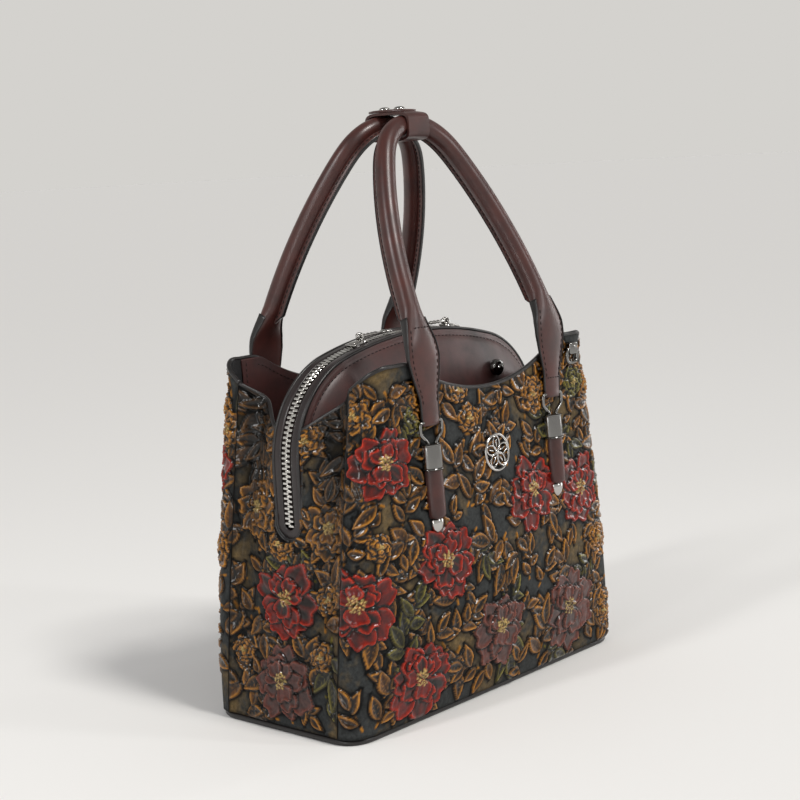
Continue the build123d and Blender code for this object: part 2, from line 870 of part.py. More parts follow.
with BuildPart() as snap_studs:
    with BuildSketch(stud_plane):
        with GridLocations(2 * snap_reach, 0, 2, 1):
            with Locations((0, snap_level)):
                RegularPolygon(snap_radius, bar_sides)
    extrude(amount=snap_thickness)
    with BuildSketch(stud_plane.offset(snap_thickness)):
        with GridLocations(2 * snap_reach, 0, 2, 1):
            with Locations((0, snap_level)):
                RegularPolygon(snap_stud, bar_sides)
    extrude(amount=snap_thickness)
save(snap_studs, "snap_studs")

with BuildPart() as snap_sockets:
    for side in (-1, 1):
        back = seat(side * snap_reach, snap_level) + seat_depth + facing_thickness + clearance
        with BuildSketch(Plane.XZ.offset(-back)):
            with Locations((side * snap_reach, snap_level)):
                RegularPolygon(snap_radius, bar_sides)
                RegularPolygon(snap_stud + clearance, bar_sides, mode=Mode.SUBTRACT)
        extrude(amount=-snap_thickness)
save(snap_sockets, "snap_sockets")


# Strap rings: a holder on the front right wing with a D-ring turning in it, and a pair on the back left

strap_depth = clearance + holder_depth / 2 - seat(strap_reach, strap_level)
dring_axis = Vector(strap_reach, -strap_depth, strap_level)

with BuildPart() as strap_holder_front:
    with Locations(dring_axis):
        Box(holder_width, holder_depth, holder_height)
    chamfer(strap_holder_front.edges().filter_by(Axis.X), length=cap_edge)
    with BuildSketch(Plane(origin=dring_axis, x_dir=(0, 1, 0), z_dir=(1, 0, 0))):
        RegularPolygon(dring_bar / math.sqrt(2) + clearance, eye_sides, major_radius=False)
    extrude(amount=holder_width, both=True, mode=Mode.SUBTRACT)
save(strap_holder_front, "strap_holder_front")

with BuildPart() as strap_ring_front:
    with BuildSketch(Plane.XZ.offset(strap_depth)) as dring_face:
        with Locations((strap_reach, strap_level + dring_bar / 2)):
            Rectangle(dring_inner + 2 * dring_bar, dring_drop + dring_bar, align=(Align.CENTER, Align.MAX))
        chamfer(dring_face.vertices().group_by(Axis.Y)[0], length=dring_round)
        offset(amount=-dring_bar, mode=Mode.SUBTRACT)
    extrude(amount=dring_bar / 2, both=True)
save(strap_ring_front, "strap_ring_front")

with BuildPart() as strap_holder_back:
    add(strap_holder_front.part, rotation=half_turn)
save(strap_holder_back, "strap_holder_back")

with BuildPart() as strap_ring_back:
    add(strap_ring_front.part, rotation=half_turn)
save(strap_ring_back, "strap_ring_back")
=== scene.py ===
import bpy
import bmesh
import math
import random
import numpy as np
from mathutils import Matrix, Vector
from mathutils.bvhtree import BVHTree


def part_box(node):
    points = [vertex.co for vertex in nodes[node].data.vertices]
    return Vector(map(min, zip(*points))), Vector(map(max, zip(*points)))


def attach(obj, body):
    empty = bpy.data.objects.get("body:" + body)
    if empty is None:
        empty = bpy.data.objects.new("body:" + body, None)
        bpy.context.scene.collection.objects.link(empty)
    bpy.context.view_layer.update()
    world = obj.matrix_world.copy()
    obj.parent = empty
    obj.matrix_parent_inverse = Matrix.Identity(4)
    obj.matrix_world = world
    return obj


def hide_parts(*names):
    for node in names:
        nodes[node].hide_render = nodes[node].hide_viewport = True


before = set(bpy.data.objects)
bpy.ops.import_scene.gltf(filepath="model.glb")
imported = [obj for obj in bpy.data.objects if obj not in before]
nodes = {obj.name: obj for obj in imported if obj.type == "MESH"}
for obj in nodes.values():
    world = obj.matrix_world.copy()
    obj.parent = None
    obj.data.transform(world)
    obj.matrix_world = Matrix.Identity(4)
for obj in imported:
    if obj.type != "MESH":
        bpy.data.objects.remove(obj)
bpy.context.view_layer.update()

scene = bpy.context.scene
mm = 0.001

# shared sizes of the bag, as in the CAD source
bag = dict(leather=2.2 * mm, seam=52 * mm, corner=16 * mm, foot=4.3 * mm, wing=246 * mm, waist=80 * mm,
           shoulder=175 * mm, end=203 * mm, spine=12.5 * mm, core=40 * mm, seamGap=0.3 * mm,
           halves=(150, 142, 128.5, 118), depths=(67, 70, 71, 72))


# finishes

def srgb(r, g, b):
    return [((c / 255 + 0.055) / 1.055) ** 2.4 if c > 10 else c / 255 / 12.92 for c in (r, g, b)]


def setInputs(node, values):
    for name, value in values.items():
        node.inputs[name].default_value = value


def newMaterial(name, colour, rough, metal=0.0, coat=0.0, coatRough=0.1, specular=0.5):
    mat = bpy.data.materials.new(name)
    mat.use_nodes = True
    shader = mat.node_tree.nodes["Principled BSDF"]
    setInputs(shader, {"Base Color": (*colour, 1), "Roughness": rough, "Metallic": metal, "Coat Weight": coat,
                       "Coat Roughness": coatRough, "Specular IOR Level": specular})
    return mat, mat.node_tree.nodes, mat.node_tree.links, shader


def noiseNode(tree, links, scale, detail):
    coords = tree.new("ShaderNodeTexCoord")
    noise = tree.new("ShaderNodeTexNoise")
    setInputs(noise, {"Scale": scale, "Detail": detail, "Roughness": 0.6})
    links.new(coords.outputs["Object"], noise.inputs["Vector"])
    return noise


def rampNode(tree, links, source, stops):
    ramp = tree.new("ShaderNodeValToRGB")
    while len(ramp.color_ramp.elements) < len(stops):
        ramp.color_ramp.elements.new(0.5)
    for element, (place, colour) in zip(ramp.color_ramp.elements, stops):
        element.position = place
        element.color = (*colour, 1)
    links.new(source, ramp.inputs["Fac"])
    return ramp


def rangeNode(tree, links, source, low, high, fromLow=0.0, fromHigh=1.0):
    remap = tree.new("ShaderNodeMapRange")
    setInputs(remap, {"From Min": fromLow, "From Max": fromHigh, "To Min": low, "To Max": high})
    links.new(source, remap.inputs["Value"])
    return remap


def bumpNode(tree, links, source, strength, distance, before=None):
    bump = tree.new("ShaderNodeBump")
    setInputs(bump, {"Strength": strength, "Distance": distance})
    links.new(source, bump.inputs["Height"])
    if before is not None:
        links.new(before.outputs["Normal"], bump.inputs["Normal"])
    return bump


def largerNode(tree, links, first, second):
    larger = tree.new("ShaderNodeMath")
    larger.operation = "MAXIMUM"
    links.new(first, larger.inputs[0])
    links.new(second, larger.inputs[1])
    return larger


def smoothLeather(name, dark, light, rough, grain=1500, depth=0.12):
    mat, tree, links, shader = newMaterial(name, light, rough, coat=0.12, coatRough=0.3)
    cloud = noiseNode(tree, links, 60, 4)
    tone = rampNode(tree, links, cloud.outputs["Fac"], [(0.3, dark), (0.7, light)])
    links.new(tone.outputs["Color"], shader.inputs["Base Color"])
    sheen = rangeNode(tree, links, cloud.outputs["Fac"], rough + 0.06, rough - 0.06, 0.3, 0.7)
    links.new(sheen.outputs["Result"], shader.inputs["Roughness"])
    coords = tree.new("ShaderNodeTexCoord")
    cells = tree.new("ShaderNodeTexVoronoi")
    cells.inputs["Scale"].default_value = grain
    links.new(coords.outputs["Object"], cells.inputs["Vector"])
    fine = noiseNode(tree, links, grain * 1.7, 2)
    first = bumpNode(tree, links, cells.outputs["Distance"], depth, 0.2 * mm)
    second = bumpNode(tree, links, fine.outputs["Fac"], depth * 0.7, 0.1 * mm, first)
    links.new(second.outputs["Normal"], shader.inputs["Normal"])
    return mat


def polishedMetal(name, colour, rough):
    mat, tree, links, shader = newMaterial(name, colour, rough, metal=1.0)
    wear = noiseNode(tree, links, 300, 4)
    handled = rangeNode(tree, links, wear.outputs["Fac"], rough - 0.03, rough + 0.05, 0.35, 0.75)
    links.new(handled.outputs["Result"], shader.inputs["Roughness"])
    bump = bumpNode(tree, links, wear.outputs["Fac"], 0.015, 0.1 * mm)
    links.new(bump.outputs["Normal"], shader.inputs["Normal"])
    return mat


def wovenCloth(name, colour, thread):
    mat, tree, links, shader = newMaterial(name, colour, 0.85)
    coords = tree.new("ShaderNodeTexCoord")
    waves = []
    for direction in ("X", "Z"):
        wave = tree.new("ShaderNodeTexWave")
        wave.bands_direction = direction
        setInputs(wave, {"Scale": thread, "Distortion": 0.6})
        links.new(coords.outputs["Object"], wave.inputs["Vector"])
        waves.append(wave)
    weave = largerNode(tree, links, waves[0].outputs["Fac"], waves[1].outputs["Fac"])
    stops = [(0.2, [c * 0.5 for c in colour]), (0.9, colour)]
    tone = rampNode(tree, links, weave.outputs["Value"], stops)
    links.new(tone.outputs["Color"], shader.inputs["Base Color"])
    bump = bumpNode(tree, links, weave.outputs["Value"], 0.3, 0.15 * mm)
    links.new(bump.outputs["Normal"], shader.inputs["Normal"])
    return mat


def paintedLacquer(name):
    # colour comes from the painted attribute of each embossed wall
    mat, tree, links, shader = newMaterial(name, srgb(60, 50, 40), 0.3, coat=0.65, coatRough=0.06,
                                           specular=0.1)
    shader.inputs["Coat IOR"].default_value = 1.4
    paint = tree.new("ShaderNodeVertexColor")
    paint.layer_name = "paint"
    cloud = noiseNode(tree, links, 420, 5)
    rub = rangeNode(tree, links, cloud.outputs["Fac"], 0.6, 1.25, 0.3, 0.7)
    mottled = tree.new("ShaderNodeMix")
    mottled.data_type = "RGBA"
    mottled.blend_type = "MULTIPLY"
    mottled.inputs["Factor"].default_value = 1.0
    links.new(paint.outputs["Color"], mottled.inputs["A"])
    links.new(rub.outputs["Result"], mottled.inputs["B"])
    links.new(mottled.outputs["Result"], shader.inputs["Base Color"])
    # the motifs are polished, the ground between them is satin
    gloss = tree.new("ShaderNodeAttribute")
    gloss.attribute_name = "gloss"
    dull = rangeNode(tree, links, gloss.outputs["Fac"], 0.62, 0.3)
    links.new(dull.outputs["Result"], shader.inputs["Roughness"])
    varnish = rangeNode(tree, links, gloss.outputs["Fac"], 0.04, 0.85)
    links.new(varnish.outputs["Result"], shader.inputs["Coat Weight"])
    grain = noiseNode(tree, links, 1300, 3)
    bump = bumpNode(tree, links, grain.outputs["Fac"], 0.16, 0.25 * mm)
    links.new(bump.outputs["Normal"], shader.inputs["Normal"])
    return mat


lacquer = paintedLacquer("embossedLacquer")
brownLeather = smoothLeather("brownLeather", srgb(50, 27, 26), srgb(75, 43, 40), 0.42)
handleLeather = smoothLeather("handleLeather", srgb(52, 26, 23), srgb(77, 40, 35), 0.36, 1800, 0.07)
bindingLeather = smoothLeather("bindingLeather", srgb(26, 20, 21), srgb(44, 34, 34), 0.34, 1800, 0.07)
edgeLeather = smoothLeather("edgeLeather", srgb(16, 14, 14), srgb(34, 30, 30), 0.36)
liningCloth = wovenCloth("liningCloth", srgb(24, 23, 25), 900)
tapeCloth = wovenCloth("tapeCloth", srgb(44, 30, 28), 900)
boardMaterial = smoothLeather("stiffBoard", srgb(30, 28, 28), srgb(44, 42, 42), 0.6)
thread = wovenCloth("sewingThread", srgb(34, 18, 16), 2500)
# painted shade: a darkened copy of the nickel, so its mirror of the pale studio reads darker
shadedNickel = polishedMetal("shadedPolishedNickel", srgb(132, 131, 129), 0.09)
# painted light: a lighter copy of the same nickel, for the badge, sliders, pulls, keeper caps and tips
litNickel = polishedMetal("litNickel", srgb(190, 188, 185), 0.12)
zipMetal = polishedMetal("zipNickel", srgb(214, 212, 208), 0.2)
print("finishes ready")


# building helpers

def bendGrid(points, wrap=False, caps=False):
    # a plain grid bent to rows and columns of points
    rows, cols = points.shape[:2]
    bm = bmesh.new()
    bmesh.ops.create_grid(bm, x_segments=cols - 1, y_segments=rows - 1, size=1)
    for v in bm.verts:
        v.co = points[round((v.co.y + 1) / 2 * (rows - 1)), round((v.co.x + 1) / 2 * (cols - 1))]
    if wrap:
        bmesh.ops.remove_doubles(bm, verts=bm.verts, dist=1e-6)
    if caps:
        bmesh.ops.holes_fill(bm, edges=[e for e in bm.edges if e.is_boundary], sides=0)
    return bm


def addPiece(name, bm, mats, replaces=(), body="bag", flip=None, smooth=True, sharp=None):
    if flip is None:
        bmesh.ops.recalc_face_normals(bm, faces=bm.faces)
    elif flip:
        bmesh.ops.reverse_faces(bm, faces=bm.faces)
    for face in bm.faces:
        face.smooth = smooth
    if sharp:
        for edge in bm.edges:
            if len(edge.link_faces) == 2 and edge.calc_face_angle() > math.radians(sharp):
                edge.smooth = False
    mesh = bpy.data.meshes.new(name)
    bm.to_mesh(mesh)
    bm.free()
    for mat in mats if isinstance(mats, (list, tuple)) else [mats]:
        mesh.materials.append(mat)
    piece = bpy.data.objects.new(name, mesh)
    scene.collection.objects.link(piece)
    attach(piece, body)
    if replaces:
        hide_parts(*replaces)
    return piece


def moveAll(bm, matrix):
    bmesh.ops.transform(bm, matrix=matrix, verts=bm.verts)


def turnMatrix(turn):
    # half turn for a fitting at the back of the bag
    return Matrix.Rotation(math.pi if turn < 0 else 0, 4, "Z")


def axesMatrix(x, y, z):
    # turn that brings the three main directions onto these
    return Matrix((Vector(x), Vector(y), Vector(z))).transposed().to_4x4()


def bead(bm, place, size, around=12, rings=6):
    shape = place @ Matrix.Diagonal((*size, 1))
    bmesh.ops.create_uvsphere(bm, u_segments=around, v_segments=rings, radius=1, matrix=shape)


def spoke(centre, radius, angle):
    # a place round a centre on the first axis, turned to point away from it
    place = (centre + radius * math.cos(angle), radius * math.sin(angle), 0)
    return Matrix.Translation(place) @ Matrix.Rotation(angle, 4, "Z")


def unit(vectors):
    return vectors / np.maximum(np.linalg.norm(vectors, axis=-1, keepdims=True), 1e-12)


def mix(first, second, share):
    return first * (1 - share) + second * share


def ease(share):
    return share * share * (3 - 2 * share)


def blur(field, reach, rounds=2):
    # box blur along both directions, edges held
    for _ in range(rounds):
        for axis in (0, 1):
            pad = [(0, 0)] * field.ndim
            pad[axis] = (reach, reach)
            wide = np.pad(field, pad, mode="reflect", reflect_type="odd")
            sums = np.cumsum(wide, axis=axis)
            sums = np.concatenate([np.zeros_like(np.take(sums, [0], axis)), sums], axis=axis)
            n = field.shape[axis]
            span = 2 * reach + 1
            field = (np.take(sums, range(span, span + n), axis) - np.take(sums, range(n), axis)) / span
    return field


def finer(field, rows, cols):
    # stretch a coarse grid to rows by cols, straight between its points
    r = np.linspace(0, field.shape[0] - 1, rows)
    c = np.linspace(0, field.shape[1] - 1, cols)
    r0 = np.minimum(r.astype(int), field.shape[0] - 2)
    c0 = np.minimum(c.astype(int), field.shape[1] - 2)
    fr = (r - r0)[:, None, None]
    fc = (c - c0)[None, :, None]
    top = mix(field[r0][:, c0], field[r0][:, c0 + 1], fc)
    low = mix(field[r0 + 1][:, c0], field[r0 + 1][:, c0 + 1], fc)
    return mix(top, low, fr)


def gridNormals(points, outward):
    across = np.gradient(points, axis=1)
    up = np.gradient(points, axis=0)
    normals = unit(np.cross(across, up))
    if (normals * outward).sum() < 0:
        normals = -normals
    return normals


def squaredCircle(count, power):
    # cosine and sine of a full turn, squared off by a power under 1
    angle = np.linspace(0, 2 * math.pi, count)
    c = np.sign(np.cos(angle)) * np.abs(np.cos(angle)) ** power
    s = np.sign(np.sin(angle)) * np.abs(np.sin(angle)) ** power
    return c, s


def tubeGrid(path, across, out, halfWide, halfThick, segments=24, power=1.0):
    # rounded section swept along a path; across and out are its two directions at each point
    c, s = squaredCircle(segments + 1, power)
    wide = np.broadcast_to(np.asarray(halfWide, float), (len(path),))
    thick = np.broadcast_to(np.asarray(halfThick, float), (len(path),))
    return (path[:, None] + across[:, None] * (wide[:, None] * c)[..., None]
            + out[:, None] * (thick[:, None] * s)[..., None])


def softTube(path, across, out, halfWide, halfThick, segments=24, power=1.0, turn=1):
    # the same section as a closed mesh with both ends filled
    grid = tubeGrid(path, across, out, halfWide, halfThick, segments, power)
    return bendGrid(turned(grid, turn), wrap=True, caps=True)


def frames(path, side):
    # directions across a path: one near the given side, one square to both
    run = unit(np.gradient(path, axis=0))
    out = unit(np.cross(run, np.broadcast_to(np.asarray(side, float), run.shape)))
    return unit(np.cross(out, run)), out


def pathRun(path):
    # distance along a path at each of its points
    gaps = np.linalg.norm(np.diff(path, axis=0), axis=1)
    return np.concatenate([[0], np.cumsum(gaps)])


def resample(path, step):
    path = np.asarray(path, float)
    run = pathRun(path)
    count = max(2, int(run[-1] / step) + 1)
    at = np.linspace(0, run[-1], count)
    return np.stack([np.interp(at, run, path[:, k]) for k in range(3)], 1)


def turned(points, turn):
    # half turn about the upright axis for the back of the bag
    return points * np.array([turn, turn, 1])


def roundLoop(corners, radius, steps=6):
    # corners of a closed wire, each rounded by a small curve
    corners = [np.asarray(c, float) for c in corners]
    path = []
    count = len(corners)
    for k, corner in enumerate(corners):
        before = corners[k - 1] - corner
        after = corners[(k + 1) % count] - corner
        cut = min(radius, 0.45 * np.linalg.norm(before), 0.45 * np.linalg.norm(after))
        start = corner + before / np.linalg.norm(before) * cut
        end = corner + after / np.linalg.norm(after) * cut
        for t in np.linspace(0, 1, steps):
            path.append(start * (1 - t) ** 2 + corner * 2 * t * (1 - t) + end * t**2)
    path.append(path[0])
    return np.array(path)


def wire(path, radius, side, segments=12):
    # round wire along a closed path
    across, out = frames(path, side)
    run = unit(path[1] - path[-2])
    across[0] = across[-1] = unit(across[0] + across[-1])
    out[0] = out[-1] = unit(np.cross(run, across[0]))
    if (out[0] * out[1]).sum() < 0:
        out[0] = out[-1] = -out[0]
    return bendGrid(tubeGrid(path, across, out, radius, radius, segments), wrap=True)


# pitch, length and radius of the stitches in each kind of seam
seams = dict(dome=(4.0 * mm, 3.1 * mm, 0.42 * mm), lip=(4.2 * mm, 3.2 * mm, 0.45 * mm),
             pad=(4.0 * mm, 2.9 * mm, 0.45 * mm), cross=(3.0 * mm, 2.4 * mm, 0.45 * mm),
             facing=(4 * mm, 3 * mm, 0.45 * mm))
stitches = bmesh.new()


def stitchRow(path, normal, seam):
    # thread stitches lying along a path
    pitch, length, radius = seams[seam]
    path = resample(path, pitch)
    row = bmesh.new()
    for a, b in zip(path[:-1], path[1:]):
        run = Vector(b - a).normalized()
        up = Vector(normal).normalized()
        side = up.cross(run).normalized()
        up = run.cross(side)
        place = Matrix.Translation(Vector((a + b) / 2)) @ axesMatrix(run, side, up)
        bead(row, place, (length / 2, radius, radius * 0.8), 6, 4)
    joinInto(stitches, row)


def joinInto(bm, part):
    mesh = bpy.data.meshes.new("joined")
    part.to_mesh(mesh)
    part.free()
    bm.from_mesh(mesh)
    bpy.data.meshes.remove(mesh)


def keepCad(names, mat):
    # CAD pieces that keep their shape and get a better finish
    for name in names:
        nodes[name].data.materials.clear()
        nodes[name].data.materials.append(mat)


# embossed walls: the outside of each wall, read from its CAD solid

def nodeTreeOf(name):
    mesh = nodes[name].data
    return BVHTree.FromPolygons([v.co for v in mesh.vertices], [p.vertices for p in mesh.polygons])


# how many levels of each wall are read from its solid
wallLevels = 40
panelTrees = {turn: nodeTreeOf(name) for turn, name in ((1, "front_panel"), (-1, "back_panel"))}


def levelValue(values, z):
    # smooth run of a size over the four levels of the body
    return np.interp(z, [0, bag["waist"], bag["shoulder"], bag["wing"]], [v * mm for v in values])


def hitFrom(tree, start, direction, turn):
    start = Vector((start[0] * turn, start[1] * turn, start[2]))
    direction = Vector((direction[0] * turn, direction[1] * turn, direction[2]))
    spot = tree.ray_cast(start, direction)[0]
    return None if spot is None else np.array((spot[0] * turn, spot[1] * turn, spot[2]))


def skin(x, z):
    # y of the front wall's plain outside at one spot
    spot = hitFrom(panelTrees[1], (x, -bag["core"], z), (0, -1, 0), 1)
    return spot[1] - bag["leather"]


def panelColumns(counts=(2, 8, 44)):
    # share along the side, the corner and the front, from the left seam to the right one
    side, corner, front = counts
    left = [("side", k / side, -1) for k in range(side)]
    left += [("corner", k / corner, -1) for k in range(corner)]
    right = [("corner", 1 - k / corner, 1) for k in range(1, corner + 1)]
    right += [("side", 1 - k / side, 1) for k in range(1, side + 1)]
    return left + [("front", k / front, 0) for k in range(front + 1)] + right


def panelSpot(tree, turn, column, z):
    kind, share, end = column
    half = levelValue(bag["halves"], z)
    deep = levelValue(bag["depths"], z)
    flat = half - bag["corner"]
    if kind == "front":
        x = (2 * share - 1) * flat
        start, direction, run = (x, -bag["core"], z), (0, -1, 0), x
    elif kind == "corner":
        angle = share * math.pi / 2
        centre = (end * flat, min(bag["corner"] - deep, -bag["seam"] - bag["seamGap"]), z)
        start, direction = centre, (end * math.cos(angle), -math.sin(angle), 0)
        run = end * (flat + (1 - share) * bag["corner"] * math.pi / 2)
    else:
        strip = max(deep - bag["corner"] - bag["seam"] - bag["seamGap"], 0)
        start = (end * (half - 20 * mm), -bag["seam"] - bag["seamGap"] - share * strip, z)
        direction = (end, 0, 0)
        run = end * (flat + bag["corner"] * math.pi / 2 + (1 - share) * strip)
    spot = hitFrom(tree, start, direction, turn)
    if spot is None:
        return None, run
    return spot + np.array(direction) * bag["leather"], run


def slopeTop(y):
    # level of the sloped ends, lowest beside the zip
    rise = (bag["wing"] - bag["end"]) / (bag["depths"][3] * mm - bag["spine"])
    return np.minimum(bag["end"] + rise * np.maximum(np.abs(y) - bag["spine"], 0), bag["wing"])


def panelTop(tree, turn, column, z=200 * mm):
    # the wall leans, so each round looks again at the height that was found
    spot, _ = panelSpot(tree, turn, column, z)
    if column[0] != "front":
        for _ in range(3):
            spot, _ = panelSpot(tree, turn, column, slopeTop(spot[1]) - 4 * mm)
        return slopeTop(spot[1])
    tip = spot
    for _ in range(4):
        inside = tip * np.array([1 - 1.1 * mm / max(abs(tip[0]), 0.05), 1 - 1.1 * mm / abs(tip[1]), 1])
        spot = hitFrom(tree, (inside[0], inside[1], 300 * mm), (0, 0, -1), turn)
        if spot is None:
            break
        z = spot[2]
        lower, _ = panelSpot(tree, turn, column, z - 2.5 * mm)
        if lower is not None:
            tip = lower
    return z


def panelSurface(turn, rows, cols):
    tree = panelTrees[turn]
    columns = panelColumns()
    tops = np.array([panelTop(tree, turn, c) for c in columns])
    points = np.zeros((wallLevels, len(columns), 3))
    runs = np.zeros((wallLevels, len(columns), 1))
    for i, column in enumerate(columns):
        for j in range(wallLevels):
            z = bag["foot"] + (tops[i] - bag["seamGap"] - bag["foot"]) * j / (wallLevels - 1)
            spot, runs[j, i, 0] = panelSpot(tree, turn, column, z)
            points[j, i] = spot if spot is not None else 2 * points[j - 1, i] - points[j - 2, i]
            points[j, i, 2] = z
    # columns get even steps by their own run, so the grid is square everywhere
    share = np.abs(np.diff(runs[wallLevels // 2, :, 0]))
    share = np.concatenate([[0], np.cumsum(share)]) / share.sum()
    even = np.interp(np.linspace(0, 1, cols), share, np.arange(len(columns)))
    both = np.concatenate([points, runs], axis=2)
    c0 = np.minimum(even.astype(int), len(columns) - 2)
    fc = (even - c0)[None, :, None]
    both = finer(mix(both[:, c0], both[:, c0 + 1], fc), rows, cols)
    points = blur(both[..., :3], 3)
    return points, both[..., 3], both[..., 2]


# the pattern: petals and leaves pressed into a height map, with paint on rims and hollows

paints = dict(
    # the near-black after the brass is the glaze colour, also painted shade in the ground beside the motifs
    ground=srgb(54, 56, 56), brass=srgb(122, 100, 62), glazeAndShade=srgb(6, 7, 8), outline=srgb(3, 3, 3),
    peony=(srgb(24, 13, 11), srgb(92, 6, 2), srgb(188, 44, 10)),
    # the pale palette is painted glare, a washed-out look for the blooms low on the walls
    dusty=(srgb(58, 40, 37), srgb(84, 38, 31), srgb(130, 72, 56)),
    amber=(srgb(8, 7, 5), srgb(88, 52, 12), srgb(206, 138, 46)),
    olive=(srgb(12, 13, 7), srgb(54, 52, 16), srgb(140, 128, 50)),
    gold=srgb(232, 200, 120))


# how much colour fills the heart of a petal or a leaf
fills = dict(petal=(0.0, 0.1, 0.35, 0.7, 1.0), leaf=(0.0, 0.1, 0.3, 0.9))


class Relief:
    def __init__(self, across, up, seed):
        self.a = across / mm
        self.z = up / mm
        self.height = np.zeros(across.shape)
        self.level = np.zeros(across.shape)
        self.taken = np.zeros(across.shape)
        rng = np.random.default_rng(seed)
        patches = blur(finer(rng.random((9, 12, 1)), *across.shape), 9)[..., 0]
        fine = blur(rng.random(across.shape)[..., None], 1)[..., 0]
        brush = np.clip((patches - 0.48) * 3 + (fine - 0.5) * 2.4, 0, 1)[..., None] * 0.7
        self.colour = mix(np.array(paints["ground"]), np.array(paints["brass"]), brush)

    def window(self, x, z, reach):
        near = (np.abs(self.a - x) < reach) & (np.abs(self.z - z) < reach)
        rows = np.flatnonzero(near.any(1))
        cols = np.flatnonzero(near.any(0))
        if len(rows) < 2 or len(cols) < 2:
            return None
        return slice(rows[0], rows[-1] + 1), slice(cols[0], cols[-1] + 1)

    def press(self, x, z, turn, long, wide, palette, lift, rng, shape="petal", rim=0.95):
        # one petal or leaf, its root at x, z and its tip turned by turn degrees from straight up
        part = self.window(x, z, long * 1.2)
        if part is None:
            return
        u = self.a[part] - x
        v = self.z[part] - z
        angle = math.radians(turn)
        w = u * math.cos(angle) - v * math.sin(angle)
        t = (u * math.sin(angle) + v * math.cos(angle)) / long
        if shape == "petal":
            t = t + 0.07 * np.sin(3.4 * w / wide * math.pi + rng.uniform(0, 6)) - 0.1 * np.abs(w / wide)
            outline = np.sin(math.pi * np.clip(t, 1e-4, 1 - 1e-4) ** 1.4) ** 0.6 * wide / 2
        else:
            w = w - rng.uniform(-0.1, 0.1) * long * np.sin(math.pi * np.clip(t, 0, 1))
            outline = np.sin(math.pi * np.clip(t, 1e-4, 1 - 1e-4) ** 0.75) ** 1.05 * wide / 2
        edge = np.minimum(outline - np.abs(w), np.minimum(t, 1 - t) * long * 0.9)
        on = edge > -0.2
        body = ease(np.clip(edge / 0.8 + 0.25, 0, 1))
        crest = np.exp(-((edge - rim) / 0.7) ** 2)
        hollow = np.clip((edge - rim - 0.5) / 2.2, 0, 1)
        heart = np.clip((edge - rim) / (0.2 * wide), 0, 1)
        base = self.level[part] * 0.35 + lift
        high = base * body + 0.95 * crest - 0.6 * hollow + 0.35 * heart
        deep, middle, bright = (np.array(c) for c in palette)
        fill = rng.choice(fills[shape])
        tone = mix(middle * 0.8 + bright * 0.2, mix(deep, middle, fill), ease(heart)[..., None])
        glow = crest * rng.uniform(0.55, 0.95)
        shade = np.clip(0.4 + t * 1.3, 0.4, 1)
        if shape == "leaf":
            rib = np.exp(-(w / 0.6) ** 2) * hollow
            vein = np.clip(np.cos((t * long - np.abs(w) * 0.9) * 2 * math.pi / 3.6), 0, 1) ** 3 * hollow
            high = high - 0.5 * rib + 0.25 * vein
            glow = np.clip(glow + 0.45 * vein - rib, 0, 1)
            shade = np.clip(shade * np.where(w * rng.choice((-1, 1)) > 0, 1, 0.55) - 0.3 * rib, 0, 1)
        else:
            fan = np.clip(np.cos(np.arctan2(w, t * long + 0.3 * long) * 14), 0, 1) ** 2 * hollow
            high = high + 0.14 * fan
            glow = np.clip(glow + 0.12 * fan, 0, 1)
        tone = mix(tone, bright, glow[..., None]) * shade[..., None]
        dark = np.clip(1.1 - edge / 0.6, 0, 1)[..., None]
        tone = mix(tone, np.array(paints["outline"]), dark)
        groove = np.exp(-((edge + 0.7) / 0.9) ** 2) * (t > -0.1) * (t < 1.12)
        rimmed = np.clip(groove * 1.4, 0, 1)[..., None]
        behind = mix(self.colour[part], np.array(paints["outline"]), rimmed)
        self.height[part] = np.where(on, high, self.height[part] - 0.55 * groove)
        self.level[part] = np.where(on, base, self.level[part])
        self.colour[part] = np.where(on[..., None], tone, behind)
        self.taken[part] = np.maximum(self.taken[part], on)

    def dots(self, x, z, radius, count, size, lift, rng):
        # stamens in the heart of a bloom
        for k in range(count):
            far = radius * math.sqrt((k + 0.5) / count)
            angle = k * 2.39996 + rng.uniform(-0.2, 0.2)
            right, up = far * math.cos(angle), far * math.sin(angle)
            part = self.window(x + right, z + up, size * 3)
            if part is None:
                continue
            near = np.hypot(self.a[part] - x - right, self.z[part] - z - up)
            bump = np.exp(-(near / size) ** 2)
            self.height[part] = self.height[part] + lift * bump
            fleck = np.clip(bump * 1.2 - 0.15, 0, 1)[..., None]
            self.colour[part] = mix(self.colour[part], np.array(paints["gold"]), fleck)

    def stem(self, x0, z0, x1, z1, bow, palette):
        # thin curved stalk
        steps = max(4, int(math.hypot(x1 - x0, z1 - z0) / 0.7))
        for t in np.linspace(0, 1, steps):
            x = x0 + (x1 - x0) * t + bow * math.sin(math.pi * t) * (z1 - z0) / 20
            z = z0 + (z1 - z0) * t - bow * math.sin(math.pi * t) * (x1 - x0) / 20
            part = self.window(x, z, 3)
            if part is None:
                continue
            ridge = np.exp(-(np.hypot(self.a[part] - x, self.z[part] - z) / 0.95) ** 2)
            self.height[part] = np.maximum(self.height[part], 0.9 * ridge)
            tint = np.clip(ridge * 1.3 - 0.2, 0, 1)[..., None]
            self.colour[part] = mix(self.colour[part], np.array(palette[2]) * 0.7, tint)

    def busy(self, x, z, reach):
        part = self.window(x, z, reach)
        return 1.0 if part is None else self.taken[part].mean()

    def glazeAndShade(self):
        # dark glaze in the ground between the motifs, darkest right beside them; that darkening next to the
        # raised motifs is painted shade
        near = blur(self.taken[..., None], 4)[..., 0]
        glazeAndShadeShare = (np.clip(near * 1.5 - 0.1, 0, 0.85) * (1 - self.taken))[..., None]
        self.colour = mix(self.colour, np.array(paints["glazeAndShade"]), glazeAndShadeShare)


